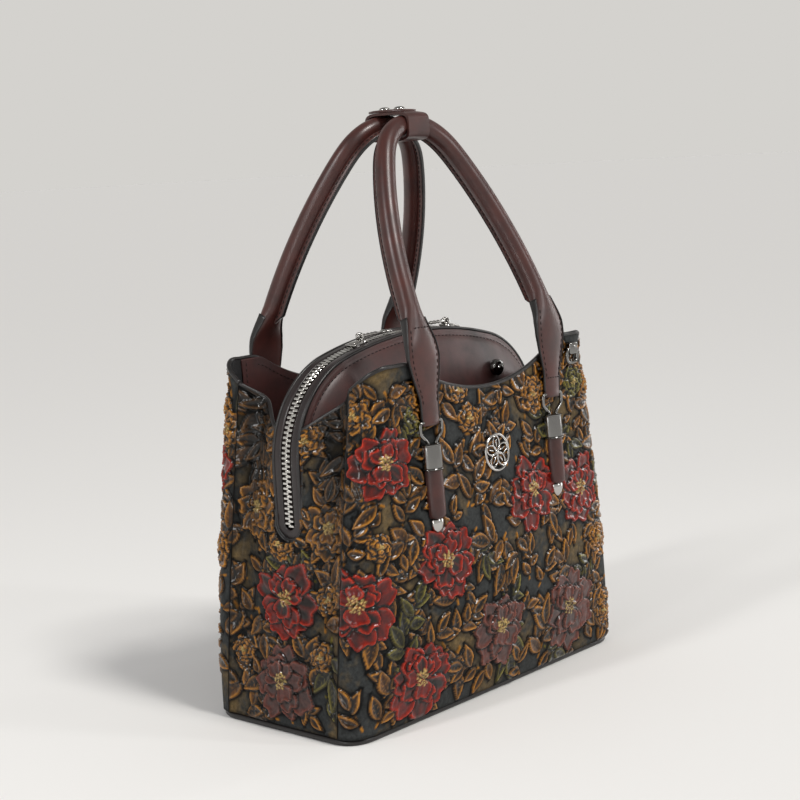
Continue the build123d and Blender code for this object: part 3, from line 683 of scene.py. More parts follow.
def peony(relief, x, z, radius, palette, rng):
    # open bloom: loose outer petals, a cup of closer ones, a lip below the heart and a tuft of stamens
    turn = rng.uniform(0, 60)
    lean = rng.uniform(-40, 40)
    for k in range(7):
        relief.press(x, z, turn + k * 51 + rng.uniform(-10, 10), radius * rng.uniform(0.85, 1.15),
                     radius * rng.uniform(0.66, 0.9), palette, 0.9, rng)
    for k in range(4):
        relief.press(x, z, turn + 25 + k * 90 + rng.uniform(-16, 16), radius * rng.uniform(0.62, 0.84),
                     radius * rng.uniform(0.52, 0.74), palette, 1.3, rng)
    heartX = x + radius * 0.1 * math.sin(math.radians(lean))
    heartZ = z + radius * 0.1 * math.cos(math.radians(lean))
    for side in (-58, 54, 0):
        relief.press(heartX, heartZ, lean + side + rng.uniform(-8, 8), radius * rng.uniform(0.46, 0.58),
                     radius * rng.uniform(0.42, 0.52), palette, 1.5, rng)
    lip = lean + 180 + rng.uniform(-20, 20)
    relief.press(heartX, heartZ, lip, radius * 0.56, radius * 0.62, palette, 1.7, rng)
    relief.dots(heartX, heartZ, radius * 0.22, 24, 0.75, 1.0, rng)


def rose(relief, x, z, radius, palette, rng):
    turn = rng.uniform(0, 72)
    for ring, (count, share, lift) in enumerate(((6, 1.0, 0.7), (5, 0.72, 1.1), (3, 0.46, 1.5))):
        for k in range(count):
            way = turn + ring * 31 + k * 360 / count + rng.uniform(-9, 9)
            long = radius * share * rng.uniform(0.9, 1.1)
            relief.press(x, z, way, long, radius * share * 0.95, palette, lift, rng, rim=0.8)
    relief.dots(x, z, radius * 0.2, 7, 0.65, 0.7, rng)


def spray(relief, x, z, turn, leaves, long, palette, rng):
    # a stalk with leaves at either side and one at the tip
    angle = math.radians(turn)
    reach = long * (0.4 + leaves * 0.22)
    tipX, tipZ = x + reach * math.sin(angle), z + reach * math.cos(angle)
    relief.stem(x, z, tipX, tipZ, rng.uniform(-2, 2), palette)
    for k in range(leaves):
        share = (k + 0.6) / leaves
        side = 1 if k % 2 else -1
        way = turn + side * rng.uniform(38, 66)
        size = long * rng.uniform(0.7, 1.05), long * rng.uniform(0.36, 0.48)
        relief.press(x + (tipX - x) * share, z + (tipZ - z) * share, way, *size, palette, 0.6, rng,
                     "leaf", rim=0.8)
    way = turn + rng.uniform(-12, 12)
    relief.press(tipX, tipZ, way, long, long * 0.44, palette, 0.7, rng, "leaf", rim=0.8)


def fillPattern(relief, blooms, bounds, seed, clearing, roses):
    # leafy sprays first, small flowers over them, the large blooms on top, single leaves in what is left
    rng = random.Random(seed)
    low, high, foot, top = bounds

    def clear(x, z):
        # the ground stays more open in one part of the wall
        return math.hypot((x - clearing[0]) / clearing[2], (z - clearing[1]) / clearing[3]) < 1

    for x, z, radius, _ in blooms:
        for k in range(5):
            turn = k * 72 + rng.uniform(-24, 24)
            rootX = x + radius * 0.75 * math.sin(math.radians(turn))
            rootZ = z + radius * 0.75 * math.cos(math.radians(turn))
            leaves = rng.choice((1, 2))
            spray(relief, rootX, rootZ, turn, leaves, rng.uniform(14, 20), paints["amber"], rng)
    for _ in range(900):
        x, z = rng.uniform(low, high), rng.uniform(foot, top)
        if relief.busy(x, z, 10) > (0.03 if clear(x, z) else 0.17):
            continue
        palette = paints["olive"] if rng.random() < 0.1 else paints["amber"]
        turn = rng.uniform(-180, 180)
        leaves = rng.choice((2, 2, 3, 4))
        spray(relief, x, z - 6, turn, leaves, rng.uniform(16, 25), palette, rng)
    for _ in range(roses):
        for _ in range(60):
            x, z = rng.uniform(low + 8, high - 8), rng.uniform(foot + 12, top - 6)
            if not clear(x, z) and all(math.hypot(x - bx, z - bz) > br + 8 for bx, bz, br, _ in blooms):
                break
        palette = paints["olive"] if rng.random() < 0.14 else paints["amber"]
        rose(relief, x, z, rng.uniform(9, 15), palette, rng)
    for x, z, radius, palette in blooms:
        peony(relief, x, z, radius, paints[palette], rng)
    for _ in range(140):
        x, z = rng.uniform(low, high), rng.uniform(foot, top)
        if relief.busy(x, z, 6) < 0.06 and not clear(x, z):
            long = rng.uniform(8, 13)
            turn = rng.uniform(-180, 180)
            relief.press(x, z - 4, turn, long, long * 0.46, paints["amber"], 0.6, rng, "leaf", rim=0.75)
    # darken the ground next to the motifs: a glaze, and painted shade
    relief.glazeAndShade()


def edgeFade(rows, cols, margins):
    # 1 inside, falling to 0 at each edge of a wall: left, right, foot, top, in grid steps
    j = np.arange(rows)[:, None]
    i = np.arange(cols)[None, :]
    left, right, foot, top = margins
    sides = np.minimum(i / left, (cols - 1 - i) / right)
    ends = np.minimum(j / foot, (rows - 1 - j) / top)
    return np.clip(np.minimum(sides, ends), 0, 1)


def cutHole(bm, hole):
    if hole is not None:
        inHole = [f for f in bm.faces if hole(f.calc_center_median())]
        bmesh.ops.delete(bm, geom=inHole, context="FACES")


def embossedWall(name, points, normals, relief, fade, slotHole=None):
    rows, cols = points.shape[:2]
    height = relief.height * fade * mm
    bm = bendGrid(points + normals * height[..., None])
    bm.verts.ensure_lookup_table()
    paint = bm.verts.layers.float_color.new("paint")
    gloss = bm.verts.layers.float.new("gloss")
    polish = blur(relief.taken[..., None], 1, 1)[..., 0]
    flatColour = relief.colour * (0.25 + 0.75 * fade[..., None])
    index = {}
    for k, v in enumerate(bm.verts):
        j, i = divmod(k, cols)
        v[paint] = (*flatColour[j, i], 1)
        v[gloss] = polish[j, i]
        index[v] = (j, i)
    cutHole(bm, slotHole)
    # the cut edge of the leather: the border pushed in by its thickness
    border = [e for e in bm.edges if e.is_boundary]
    for e in border:
        e.smooth = False
    grown = bmesh.ops.extrude_edge_only(bm, edges=border)["geom"]
    for v in [g for g in grown if isinstance(g, bmesh.types.BMVert)]:
        root = next(e.other_vert(v) for e in v.link_edges if e.other_vert(v) in index)
        j, i = index[root]
        v.co = Vector(points[j, i] - normals[j, i] * bag["leather"])
        v[paint] = (*paints["outline"], 1)
    for f in [g for g in grown if isinstance(g, bmesh.types.BMFace)]:
        f.material_index = 1
    # the inside, with larger faces
    step = 8
    rowsIn = np.unique(np.append(np.arange(0, rows, step), rows - 1))
    colsIn = np.unique(np.append(np.arange(0, cols, step), cols - 1))
    inner = bendGrid((points - normals * bag["leather"])[rowsIn][:, colsIn])
    cutHole(inner, slotHole)
    bmesh.ops.reverse_faces(inner, faces=inner.faces)
    for f in inner.faces:
        f.material_index = 2
    joinInto(bm, inner)
    first = next(iter(bm.faces))
    where = index[next(iter(first.verts))]
    flip = first.normal.dot(Vector(normals[where])) < 0
    mats = [lacquer, edgeLeather, liningCloth]
    addPiece(name, bm, mats, [name], flip=flip)


# bounds, blooms and clearings are in millimetres along and up the wall, margins in grid steps
margins = (3, 3, 3, 4)
panelPattern = dict(
    rows=272, cols=344, bounds=(-146, 146, 10, 242), clearing=(22, 92, 54, 26), roses=17,
    frontSeed=11, backSeed=23,
    # the blooms low on the walls take the pale palette of painted glare
    front=[(-88, 32, 27, "peony"), (-60, 108, 26, "peony"), (37, 138, 25, "peony"), (99, 128, 26, "peony"),
           (78, 42, 30, "dusty"), (-7, 49, 26, "dusty"), (-139, 92, 26, "peony"), (-112, 182, 23, "peony")],
    back=[(-78, 49, 30, "peony"), (-28, 138, 25, "peony"), (43, 98, 26, "peony"), (102, 54, 24, "dusty"),
          (17, 47, 26, "dusty"), (-125, 124, 25, "peony"), (112, 172, 23, "peony")])


def makePanel(name, turn, blooms, seed):
    p = panelPattern
    points, across, up = panelSurface(turn, p["rows"], p["cols"])
    normals = gridNormals(points, np.array([0, -1, 0]))
    relief = Relief(across, up, seed)
    fillPattern(relief, blooms, p["bounds"], seed, p["clearing"], p["roses"])
    fade = edgeFade(p["rows"], p["cols"], margins)
    points, normals = turned(points, turn), turned(normals, turn)
    embossedWall(name, points, normals, relief, fade)
    return points, normals


frontPoints, frontNormals = makePanel("front_panel", 1, panelPattern["front"], panelPattern["frontSeed"])
backPoints, backNormals = makePanel("back_panel", -1, panelPattern["back"], panelPattern["backSeed"])
print("front and back walls pressed")


# gussets

gusset = dict(rows=264, cols=122, bounds=(-50, 50, 8, 228), clearing=(34, 160, 14, 22), roses=7,
              leftSeed=31, rightSeed=47, edge=51.7 * mm, slot=12.8 * mm, slotFoot=140 * mm, binding=1.45 * mm,
              # the lowest bloom takes the pale palette of painted glare
              blooms=[(32, 146, 19, "amber"), (-34, 138, 19, "amber"), (0, 32, 26, "dusty"),
                      (0, 88, 26, "peony")])


def gussetSurface(turn):
    g = gusset
    tree = nodeTreeOf("left_gusset" if turn == 1 else "right_gusset")
    ys = np.linspace(-g["edge"], g["edge"], 53)
    tops = slopeTop(ys) - 0.4 * mm
    points = np.zeros((wallLevels, len(ys), 3))
    for j in range(wallLevels):
        zs = bag["foot"] + 0.1 * mm + (tops - bag["foot"]) * j / (wallLevels - 1)
        hits = [hitFrom(tree, (-60 * mm, y * 0.998, z), (-1, 0, 0), turn) for y, z in zip(ys, zs)]
        known = [k for k, h in enumerate(hits) if h is not None]
        xs = np.interp(ys, ys[known], [hits[k][0] for k in known])
        points[j] = np.stack([xs - bag["leather"], ys, zs], 1)
    return blur(finer(points, g["rows"], g["cols"]), 4)


def makeGusset(name, turn, seed):
    g = gusset
    points = gussetSurface(turn)
    normals = gridNormals(points, np.array([-1, 0, 0]))
    relief = Relief(points[..., 1], points[..., 2], seed)
    fillPattern(relief, g["blooms"], g["bounds"], seed, g["clearing"], g["roses"])
    fade = edgeFade(g["rows"], g["cols"], margins)
    # painted shade: the colour is darkened by the depth of the folds, darkest deep in them
    depth = points[..., 0] - points[..., 0].min(axis=1, keepdims=True)
    relief.colour = relief.colour * (1 - 0.85 * np.clip(depth / (10 * mm), 0, 1) ** 1.4)[..., None]

    def slotHole(c):
        y, z = c.y, c.z
        return (abs(y) < g["slot"] and z > g["slotFoot"]) or math.hypot(y, z - g["slotFoot"]) < g["slot"]

    embossedWall(name, turned(points, turn), turned(normals, turn), relief, fade, slotHole)
    # black binding along each half of the top and down the zip slot
    middle = points - normals * bag["leather"] / 2
    edges = bmesh.new()
    for side in (-1, 1):
        top = middle[-1][side * points[-1, :, 1] > g["slot"]]
        top = top if side < 0 else top[::-1]
        column = np.abs(points[0, :, 1] - side * g["slot"]).argmin()
        down = middle[::-1, column][points[::-1, column, 2] > g["slotFoot"]]
        foot = [(down[-1][0], side * g["slot"] * math.cos(a), g["slotFoot"] - g["slot"] * math.sin(a))
                for a in np.linspace(0, math.pi / 2, 8)[1:]]
        path = resample(np.concatenate([top, down[2:], np.array(foot)]), 2 * mm)
        across, out = frames(path, (-1, 0, 0.3))
        joinInto(edges, softTube(path, across, out, g["binding"], g["binding"], 10, turn=turn))
    addPiece(name + "_edges", edges, edgeLeather)


makeGusset("left_gusset", 1, gusset["leftSeed"])
makeGusset("right_gusset", -1, gusset["rightSeed"])
print("gussets pressed")


# middle compartment: formed dome panels, bindings, piping, teeth

dome = dict(half=130.5 * mm, height=257 * mm, crown=300 * mm, corner=70 * mm, foot=6 * mm, zipFoot=140 * mm,
            zipHalf=11 * mm, rise=14.5 * mm, roll=1.5 * mm, stitchIn=5.5 * mm,
            bandPlace=7.8 * mm, bandHalf=3.2 * mm, bandThick=1.25 * mm, pipe=1.3 * mm,
            toothPitch=3.4 * mm, toothLong=1.9 * mm, toothWide=4.4 * mm, toothHigh=2.3 * mm,
            insets=(0, 0.2, 0.6, 1.2, 2, 3, 4, 4.8, 5.5, 6.2, 7, 9, 12, 16, 21, 27, 34, 41, 48, 56, 64),
            around=220)
crownCentre = dome["height"] - dome["crown"]
cornerAcross = dome["half"] - dome["corner"]
cornerCentre = crownCentre + math.sqrt((dome["crown"] - dome["corner"]) ** 2 - cornerAcross**2)
crownAngle = math.asin(cornerAcross / (dome["crown"] - dome["corner"]))


def arcPoints(centre, radius, start, end, count=24):
    angles = np.linspace(start, end, count)
    return [(centre[0] + radius * math.cos(a), 0, centre[1] + radius * math.sin(a)) for a in angles]


def domePath(inset, foot, step=2.5 * mm, y=0.0):
    # left foot, over the crown, right foot
    side, corner = dome["half"] - inset, dome["corner"] - inset
    path = [(-side, 0, foot)]
    path += arcPoints((-cornerAcross, cornerCentre), corner, math.pi, math.pi / 2 + crownAngle)
    path += arcPoints((0, crownCentre), dome["crown"] - inset,
                      math.pi / 2 + crownAngle, math.pi / 2 - crownAngle)
    path += arcPoints((cornerAcross, cornerCentre), corner, math.pi / 2 - crownAngle, 0)
    path += [(side, 0, foot)]
    path = resample(path, step)
    path[:, 1] = y
    return path


def domeLoop(inset, place, step=2.0 * mm):
    # closed path round the zip: along the front, round the right foot, back, round the left foot
    front = domePath(inset, dome["zipFoot"], step, -place)
    rear = front[::-1] * np.array([1, -1, 1])
    turns = np.linspace(0, math.pi, 14)[1:-1]
    side = dome["half"] - inset
    right = np.array([(side, -place * math.cos(a), dome["zipFoot"] - place * math.sin(a)) for a in turns])
    left = np.array([(-side, place * math.cos(a), dome["zipFoot"] - place * math.sin(a)) for a in turns])
    path = np.concatenate([front, right, rear, left, front[:1]])
    flat = unit(np.gradient(front, axis=0))
    outFront = np.stack([-flat[:, 2], np.zeros(len(front)), flat[:, 0]], 1)
    out = np.concatenate([outFront, np.tile([1.0, 0, 0], (len(right), 1)), outFront[::-1],
                          np.tile([-1.0, 0, 0], (len(left), 1)), outFront[:1]])
    run = np.concatenate([path[1:2] - path[-2:-1], path[2:] - path[:-2], path[1:2] - path[-2:-1]])
    return path, unit(np.cross(unit(run), out)), out


def domeProfile(inset):
    # how far a dome panel stands off the middle, by the distance from its outline
    rolled = dome["roll"] * math.sqrt(min(inset / dome["roll"], 1))
    share = min(max((inset - 2 * mm) / (46 * mm), 0), 1)
    groove = 0.5 * mm * math.exp(-((inset - dome["stitchIn"]) / (1.2 * mm)) ** 2)
    return dome["zipHalf"] + rolled + dome["rise"] * (1 - (1 - share) ** 2) - groove


def makeCorePanel(name, turn):
    around = dome["around"]
    rows = []
    for inset in dome["insets"]:
        path = domePath(inset * mm, dome["foot"] + inset * mm * 0.2)
        path = resample(path, pathRun(path)[-1] / (around + 0.01))
        path[:, 1] = -domeProfile(inset * mm)
        rows.append(path[:around])
    points = turned(np.array(rows), turn)
    bm = bendGrid(points)
    # close the middle of the panel with one flat face
    ends = points[-1][::around - 1]
    last = [v for v in bm.verts if any((Vector(p) - v.co).length < 1e-7 for p in ends)]
    full = domeProfile(dome["insets"][-1] * mm)
    rim = [e for e in bm.edges if e.is_boundary and all(abs(abs(v.co.y) - full) < 1e-6 for v in e.verts)]
    foot = bmesh.ops.contextual_create(bm, geom=last)
    bmesh.ops.holes_fill(bm, edges=rim + foot["edges"], sides=0)
    addPiece(name, bm, brownLeather, [name])


for panelName, turn in (("core_front_panel", 1), ("core_back_panel", -1)):
    makeCorePanel(panelName, turn)

for turn in (1, -1):
    row = domePath(dome["stitchIn"], dome["zipFoot"] - 20 * mm)
    row[:, 1] = -domeProfile(dome["stitchIn"]) - 0.1 * mm
    stitchRow(turned(row, turn), (0, -turn, 0), "dome")
print("middle compartment formed")

bandPath, bandAcross, bandOut = domeLoop(0.9 * mm, dome["bandPlace"])
bandGrid = tubeGrid(bandPath, bandAcross, bandOut, dome["bandHalf"], dome["bandThick"], 16, 0.6)
band = bendGrid(bandGrid, wrap=True)
bindingNodes = ["zip_band_front", "zip_band_back", "zip_end_left", "zip_end_right"]
addPiece("zip_binding", band, bindingLeather, bindingNodes)
pipePath, pipeAcross, pipeOut = domeLoop(0.4 * mm, dome["zipHalf"] + 0.5 * mm)
pipe = bendGrid(tubeGrid(pipePath, pipeAcross, pipeOut, dome["pipe"], dome["pipe"], 10), wrap=True)
addPiece("zip_piping", pipe, edgeLeather)


def makeTeeth(name, side):
    chain = domePath(2 * mm, dome["zipFoot"] - 2 * mm, dome["toothPitch"] / 2)[1 if side > 0 else 0::2]
    runs = unit(np.gradient(chain, axis=0))
    bm = bmesh.new()
    for spot, run in zip(chain, runs):
        out = Vector((-run[2], 0, run[0]))
        place = Vector(spot) + Vector((0, side * 1.5 * mm, 0)) + out * dome["toothHigh"] * 0.5
        place = Matrix.Translation(place) @ axesMatrix(run, (0, 1, 0), out)
        scale = Matrix.Diagonal((dome["toothLong"], dome["toothWide"], dome["toothHigh"], 1))
        bmesh.ops.create_cube(bm, size=1, matrix=place @ scale)
    bmesh.ops.bevel(bm, geom=bm.edges, offset=0.4 * mm, affect="EDGES", segments=1, profile=0.5, material=-1)
    addPiece(name, bm, zipMetal, [name], smooth=False)


makeTeeth("zip_teeth_front", -1)
makeTeeth("zip_teeth_back", 1)
print("zip teeth set")


# sliders and pulls

slider = dict(left=54 * mm, right=46 * mm, long=15, wide=12, top=2.4, bailAhead=4.0, bailLevel=5.0)
pull = dict(long=32, tip=9.0, dip=9.0, eye=2.0, eyeWire=0.6, stem=(18, 4.2, 1.5), stemMiddle=11.5,
            beads=((4.6, 1.5), (8.6, 1.9), (12.6, 2.2), (16.4, 2.4)), ring=3.7, ringWire=0.85, heart=1.7)


def crownFrame(reach, toward):
    lean = math.asin(reach / dome["crown"])
    out = Vector((-toward * math.sin(lean), 0, math.cos(lean)))
    along = Vector((toward * math.cos(lean), 0, math.sin(lean)))
    origin = Vector((0, 0, crownCentre)) + out * dome["crown"]
    side = out.cross(along)
    return Matrix.Translation(origin) @ axesMatrix(along, side, out) @ Matrix.Scale(mm, 4)


def block(bm, size, centre, bevel=0.5, segments=2, taper=1.0):
    # rounded block in a piece's own millimetres; taper narrows its front end
    made = bmesh.ops.create_cube(bm, size=1)["verts"]
    for v in made:
        narrow = taper if v.co.x > 0 else 1.0
        v.co = Vector((v.co.x * size[0], v.co.y * size[1] * narrow, v.co.z * size[2])) + Vector(centre)
    edges = list({e for v in made for e in v.link_edges})
    bmesh.ops.bevel(bm, geom=edges, offset=bevel, affect="EDGES", segments=segments, profile=0.5, material=-1)


def ringInto(bm, path, radius, side, segments=10):
    joinInto(bm, wire(np.array(path), radius, side, segments))


def makeSlider(name, body, reach, toward):
    s = slider
    bm = bmesh.new()
    block(bm, (s["long"], s["wide"] - 2, 1.6), (0, 0, s["top"] - 0.9), 0.7, 3, 0.72)
    block(bm, (s["long"] - 5, s["wide"] - 6.5, 0.9), (-0.6, 0, s["top"] + 0.2), 0.4, 2, 0.7)
    for side in (-1, 1):
        block(bm, (s["long"] - 2, 0.9, 3.4), (-0.4, side * 3.9, 0.5), 0.3, 1)
        block(bm, (1.6, 1.2, 4.4), (s["bailAhead"], side * 3.0, s["top"] + 1.6), 0.4, 2)
    block(bm, (2.0, 7.2, 2.0), (s["bailAhead"], 0, s["bailLevel"]), 0.8, 3)
    moveAll(bm, crownFrame(reach, toward))
    addPiece(name, bm, litNickel, [name], body=body, sharp=50)


def makePull(name, body, reach, toward):
    # openwork drop: an eye, a beaded stem and a round end with a pierced heart
    p = pull
    bail = Matrix.Translation((slider["bailAhead"], 0, slider["bailLevel"]))
    lay = bail @ Matrix.Rotation(math.radians(p["dip"]), 4, "Y")
    bm = bmesh.new()
    angles = np.linspace(0, 2 * math.pi, 25)
    eye = np.array([(p["eye"] * math.cos(a), 0, p["eye"] * math.sin(a)) for a in angles])
    for across in (-1.2, 0, 1.2):
        ringInto(bm, eye + np.array((0, across, 0)), p["eyeWire"], (0, 1, 0), 8)
    block(bm, p["stem"], (p["stemMiddle"], 0, 0), 0.6, 3, 1.35)
    for x, size in p["beads"]:
        bead(bm, Matrix.Translation((x, 0, 0)), (size * 0.7, size, 1.35), 12, 8)
    tip = p["long"] - p["tip"] / 2
    rim = [(tip + p["ring"] * math.cos(a), p["ring"] * math.sin(a), 0) for a in angles]
    ringInto(bm, rim, p["ringWire"], (0, 0, 1), 10)
    for k in range(5):
        bead(bm, spoke(tip, p["heart"], k * 2 * math.pi / 5), (1.6, 0.8, 0.8), 10, 6)
    moveAll(bm, crownFrame(reach, toward) @ lay)
    addPiece(name, bm, litNickel, [name], body=body, sharp=50)


makeSlider("zip_slider_left", "slider_left", slider["left"], 1)
makeSlider("zip_slider_right", "slider_right", slider["right"], -1)
makePull("zip_pull_left", "pull_left", slider["left"], 1)
makePull("zip_pull_right", "pull_right", slider["right"], -1)
print("sliders and pulls made")


# handles

handle = dict(half=71 * mm, foot=252 * mm, top=403 * mm, gap=11 * mm, leg=288 * mm, stub=5 * mm, ring=68 * mm,
              ringLevel=205 * mm, loop=3.5 * mm, lipOut=8.6 * mm, lipHalf=2.6 * mm, lipThick=1.5 * mm,
              lipStart=60, lipEase=16, pad=(4, 74), padThread=(14, 66), threadIn=0.8,
              run=(0, 6, 18, 34, 45, 55, 66, 78, 90),
              wide=(8.4, 8.6, 8.8, 13.2, 15.4, 14.4, 10.6, 7.6, 7),
              thick=(2.7, 1.9, 1.8, 2.1, 2.7, 3.8, 5.6, 6.8, 7))
strapOut = handle["loop"] - skin(handle["ring"], handle["ringLevel"])
slope = np.array([0, strapOut - handle["gap"], handle["top"] - handle["foot"]])
handleRise = np.linalg.norm(slope)
slopeUp = slope / handleRise
slopeOut = np.array([0, -slopeUp[2], slopeUp[1]])
legCentre = handle["leg"] - handle["half"]
legRise = handleRise - handle["stub"]
apexRadius = (handle["leg"] ** 2 - legCentre**2 - legRise**2) / (2 * (handle["leg"] - legRise))
legAngle = math.atan2(legRise - apexRadius, legCentre)


def handlePath():
    # right half of the front handle, from its ring up to the middle of the grip
    strap = [(handle["ring"], -strapOut, handle["ringLevel"] - 2.4 * mm),
             (handle["ring"] + 0.5 * mm, -strapOut, handle["ringLevel"] + 15 * mm)]
    plane = [(-legCentre + handle["leg"] * math.cos(a), handle["stub"] + handle["leg"] * math.sin(a))
             for a in np.linspace(0, legAngle, 40)]
    plane += [(apexRadius * math.cos(a), handleRise - apexRadius + apexRadius * math.sin(a))
              for a in np.linspace(legAngle, math.pi / 2, 20)]
    base = np.array([0, -strapOut, handle["foot"]])
    grip = [base + np.array([u, 0, 0]) + slopeUp * v for u, v in plane]
    path = resample(np.array(strap + [tuple(g) for g in grip]), 2 * mm)
    soft = path.copy()
    for _ in range(20):  # ease the bend where the pad leaves the wall
        soft[1:-1] = (soft[:-2] + soft[1:-1] * 2 + soft[2:]) / 4
    return soft


def makeHandle(name, turn):
    h = handle
    half = handlePath()
    path = np.concatenate([half, half[::-1][1:] * np.array([-1, 1, 1])])
    fromStart = pathRun(path) / mm
    fromEnd = np.minimum(fromStart, fromStart[-1] - fromStart)
    wide = np.interp(fromEnd, h["run"], h["wide"]) * mm
    thick = np.interp(fromEnd, h["run"], h["thick"]) * mm
    run = unit(np.gradient(path, axis=0))
    lean = np.clip((path[:, 2] - h["foot"]) / (12 * mm) + 0.5, 0, 1)[:, None]
    out = unit(mix(np.array([0, -1, 0]), slopeOut, lean))
    across = unit(np.cross(out, run))
    out = unit(np.cross(run, across))
    tube = softTube(path, across, out, wide, thick, 28, turn=turn)
    addPiece(name, tube, handleLeather, [name])
    # lip on the inner side of the tube, closed with thread, its edge painted black
    grip = fromEnd > h["lipStart"]
    fade = np.clip((fromEnd[grip] - h["lipStart"]) / h["lipEase"], 0, 1)[:, None]
    gripAcross, gripOut = across[grip], out[grip]
    place = path[grip] - gripOut * (h["lipOut"] * fade - (1 - fade) * 1.5 * mm)
    lip = softTube(place, gripAcross, gripOut, h["lipThick"], h["lipHalf"], 16, 0.5, turn)
    addPiece(name + "_lip", lip, handleLeather)
    edge = place - gripOut * h["lipHalf"] * fade
    paint = softTube(edge, gripAcross, gripOut, h["lipThick"] * 1.04, 0.5 * mm, 10, 0.7, turn)
    addPiece(name + "_edge", paint, edgeLeather)
    for side in (-1, 1):
        row = place[4:-4] + gripAcross[4:-4] * side * (h["lipThick"] + 0.1 * mm)
        stitchRow(turned(row, turn), (side * turn, 0, 0), "lip")
    # black edge and thread round each leaf-shaped pad
    firstHalf = fromStart < fromStart[-1] / 2
    for end, onEnd in (("a", firstHalf), ("b", ~firstHalf)):
        pad, inner = (np.flatnonzero((fromEnd > low) & (fromEnd < high) & onEnd)
                      for low, high in (h["pad"], h["padThread"]))
        for side, sideName in ((-1, "l"), (1, "r")):
            rim = path[pad] + across[pad] * (side * wide[pad])[:, None]
            ribbon = softTube(rim, across[pad], out[pad], 0.5 * mm, thick[pad] * 0.55, 8, 0.7, turn)
            addPiece(f"{name}_pad_edge_{end}{sideName}", ribbon, edgeLeather)
            row = path[inner] + across[inner] * (side * wide[inner] * h["threadIn"])[:, None]
            row = row + out[inner] * (thick[inner] * 0.62)[:, None]
            stitchRow(turned(row, turn), (0, -turn, 0), "pad")
        cross = path[inner[0]] + out[inner[0]] * thick[inner[0]]
        row = np.array([cross + across[inner[0]] * w * mm for w in (-7.5, -4.5, -1.5, 1.5, 4.5, 7.5)])
        stitchRow(turned(row, turn), (0, -turn, 0), "cross")


makeHandle("front_handle", 1)
makeHandle("rear_handle", -1)
print("handles rolled")


# handle hardware: stirrup ring, sleeve, tab and tip, four sets

fitting = dict(ringHalf=11, ringSide=8, neck=14, neckHalf=3.8, ringHigh=21, wire=1.25,
               sleeveTop=190, tabFoot=139,
               sleeve=((0, 0), (0, 7.4), (0.3, 8.4), (0.8, 8.8), (1.3, 8.6), (1.7, 8.0), (3, 8.0), (9, 8.15),
                       (15, 8.0), (16.3, 8.0), (16.7, 8.6), (17.2, 8.8), (17.7, 8.4), (18, 7.4), (18, 0)),
               tab=((16, 7.2), (30, 7.3), (44, 7.1), (48.5, 6.9), (50, 6.0), (50.9, 4.0), (51, 0)),
               tip=((51.2, 0), (51.2, 5.0), (51.7, 5.5), (55, 5.4), (58, 4.3), (60.3, 2.2), (61.2, 0)))


def halfRound(place, up, out, profile, flat=1.0):
    # half-round bar lying on the wall, its radius given along its length
    angles = np.linspace(-math.pi / 2, math.pi / 2, 19)
    rows = []
    for down, radius in profile:
        spot = place - up * down * mm
        wide, high = np.array([1, 0, 0]) * radius * mm, out * radius * flat * mm
        rows.append([spot + wide * math.sin(a) + high * math.cos(a) for a in angles])
    bm = bendGrid(np.array(rows))
    bmesh.ops.remove_doubles(bm, verts=bm.verts, dist=1e-6)
    return bm


def makeFittings(x, sideName, turn, prefix):
    f = fitting
    top = np.array([x, skin(x, f["sleeveTop"] * mm) - 0.5 * mm, f["sleeveTop"] * mm])
    low = np.array([x, skin(x, f["tabFoot"] * mm) - 0.5 * mm, f["tabFoot"] * mm])
    up = (top - low) / np.linalg.norm(top - low)
    out = np.cross([1, 0, 0], up)
    corners = [(f["ringHalf"], 0), (f["ringHalf"], -f["ringSide"]), (f["neckHalf"], -f["neck"]),
               (f["neckHalf"], -f["ringHigh"])]
    mirrored = [(-a, b) for a, b in reversed(corners)]
    corners = mirrored[-1:] + corners + mirrored[:-1]
    loop = [(x + a * mm, -strapOut, handle["ringLevel"] + b * mm) for a, b in corners]
    for part, bm, mat, slotName in (
            ("ring", wire(roundLoop(loop, 2.6 * mm), f["wire"] * mm, (0, -1, 0)), shadedNickel, "polished_metal"),
            ("sleeve", halfRound(top, up, out, f["sleeve"]), shadedNickel, "polished_metal"),
            ("tab", halfRound(top, up, out, f["tab"]), handleLeather, "brown_leather"),
            ("tip", halfRound(top, up, out, f["tip"], 0.75), litNickel, "polished_metal")):
        moveAll(bm, turnMatrix(turn))
        node = f"{prefix}_{sideName}_{part}"
        addPiece(node, bm, mat, [node], sharp=45)


for x, sideName, otherName in ((-handle["ring"], "left", "right"), (handle["ring"], "right", "left")):
    makeFittings(x, sideName, 1, "front")
    makeFittings(x, otherName, -1, "back")
print("handle fittings made")


# keeper round both handles, with its caps

keeper = dict(half=11, long=18.9, high=8.4, thick=1.8, level=401.6, around=65,
              flapLong=17, flapShift=4, capGap=7,
              cap=((0.01, 2.0), (1.6, 1.9), (3.0, 1.5), (3.9, 0.8), (4.2, 0.1), (4.2, -0.3)))


def lathe(bm, profile, place, axis=(0, 0, 1)):
    # profile of radius and height turned about an axis through place
    axis = Vector(axis)
    side = axis.orthogonal().normalized()
    verts = [bm.verts.new(Vector(place) + side * r + axis * h) for r, h in profile]
    edges = [bm.edges.new(pair) for pair in zip(verts[:-1], verts[1:])]
    bmesh.ops.spin(bm, geom=verts + edges, cent=place, axis=axis, angle=2 * math.pi, steps=28, use_merge=True)
    bmesh.ops.remove_doubles(bm, verts=bm.verts, dist=1e-5)


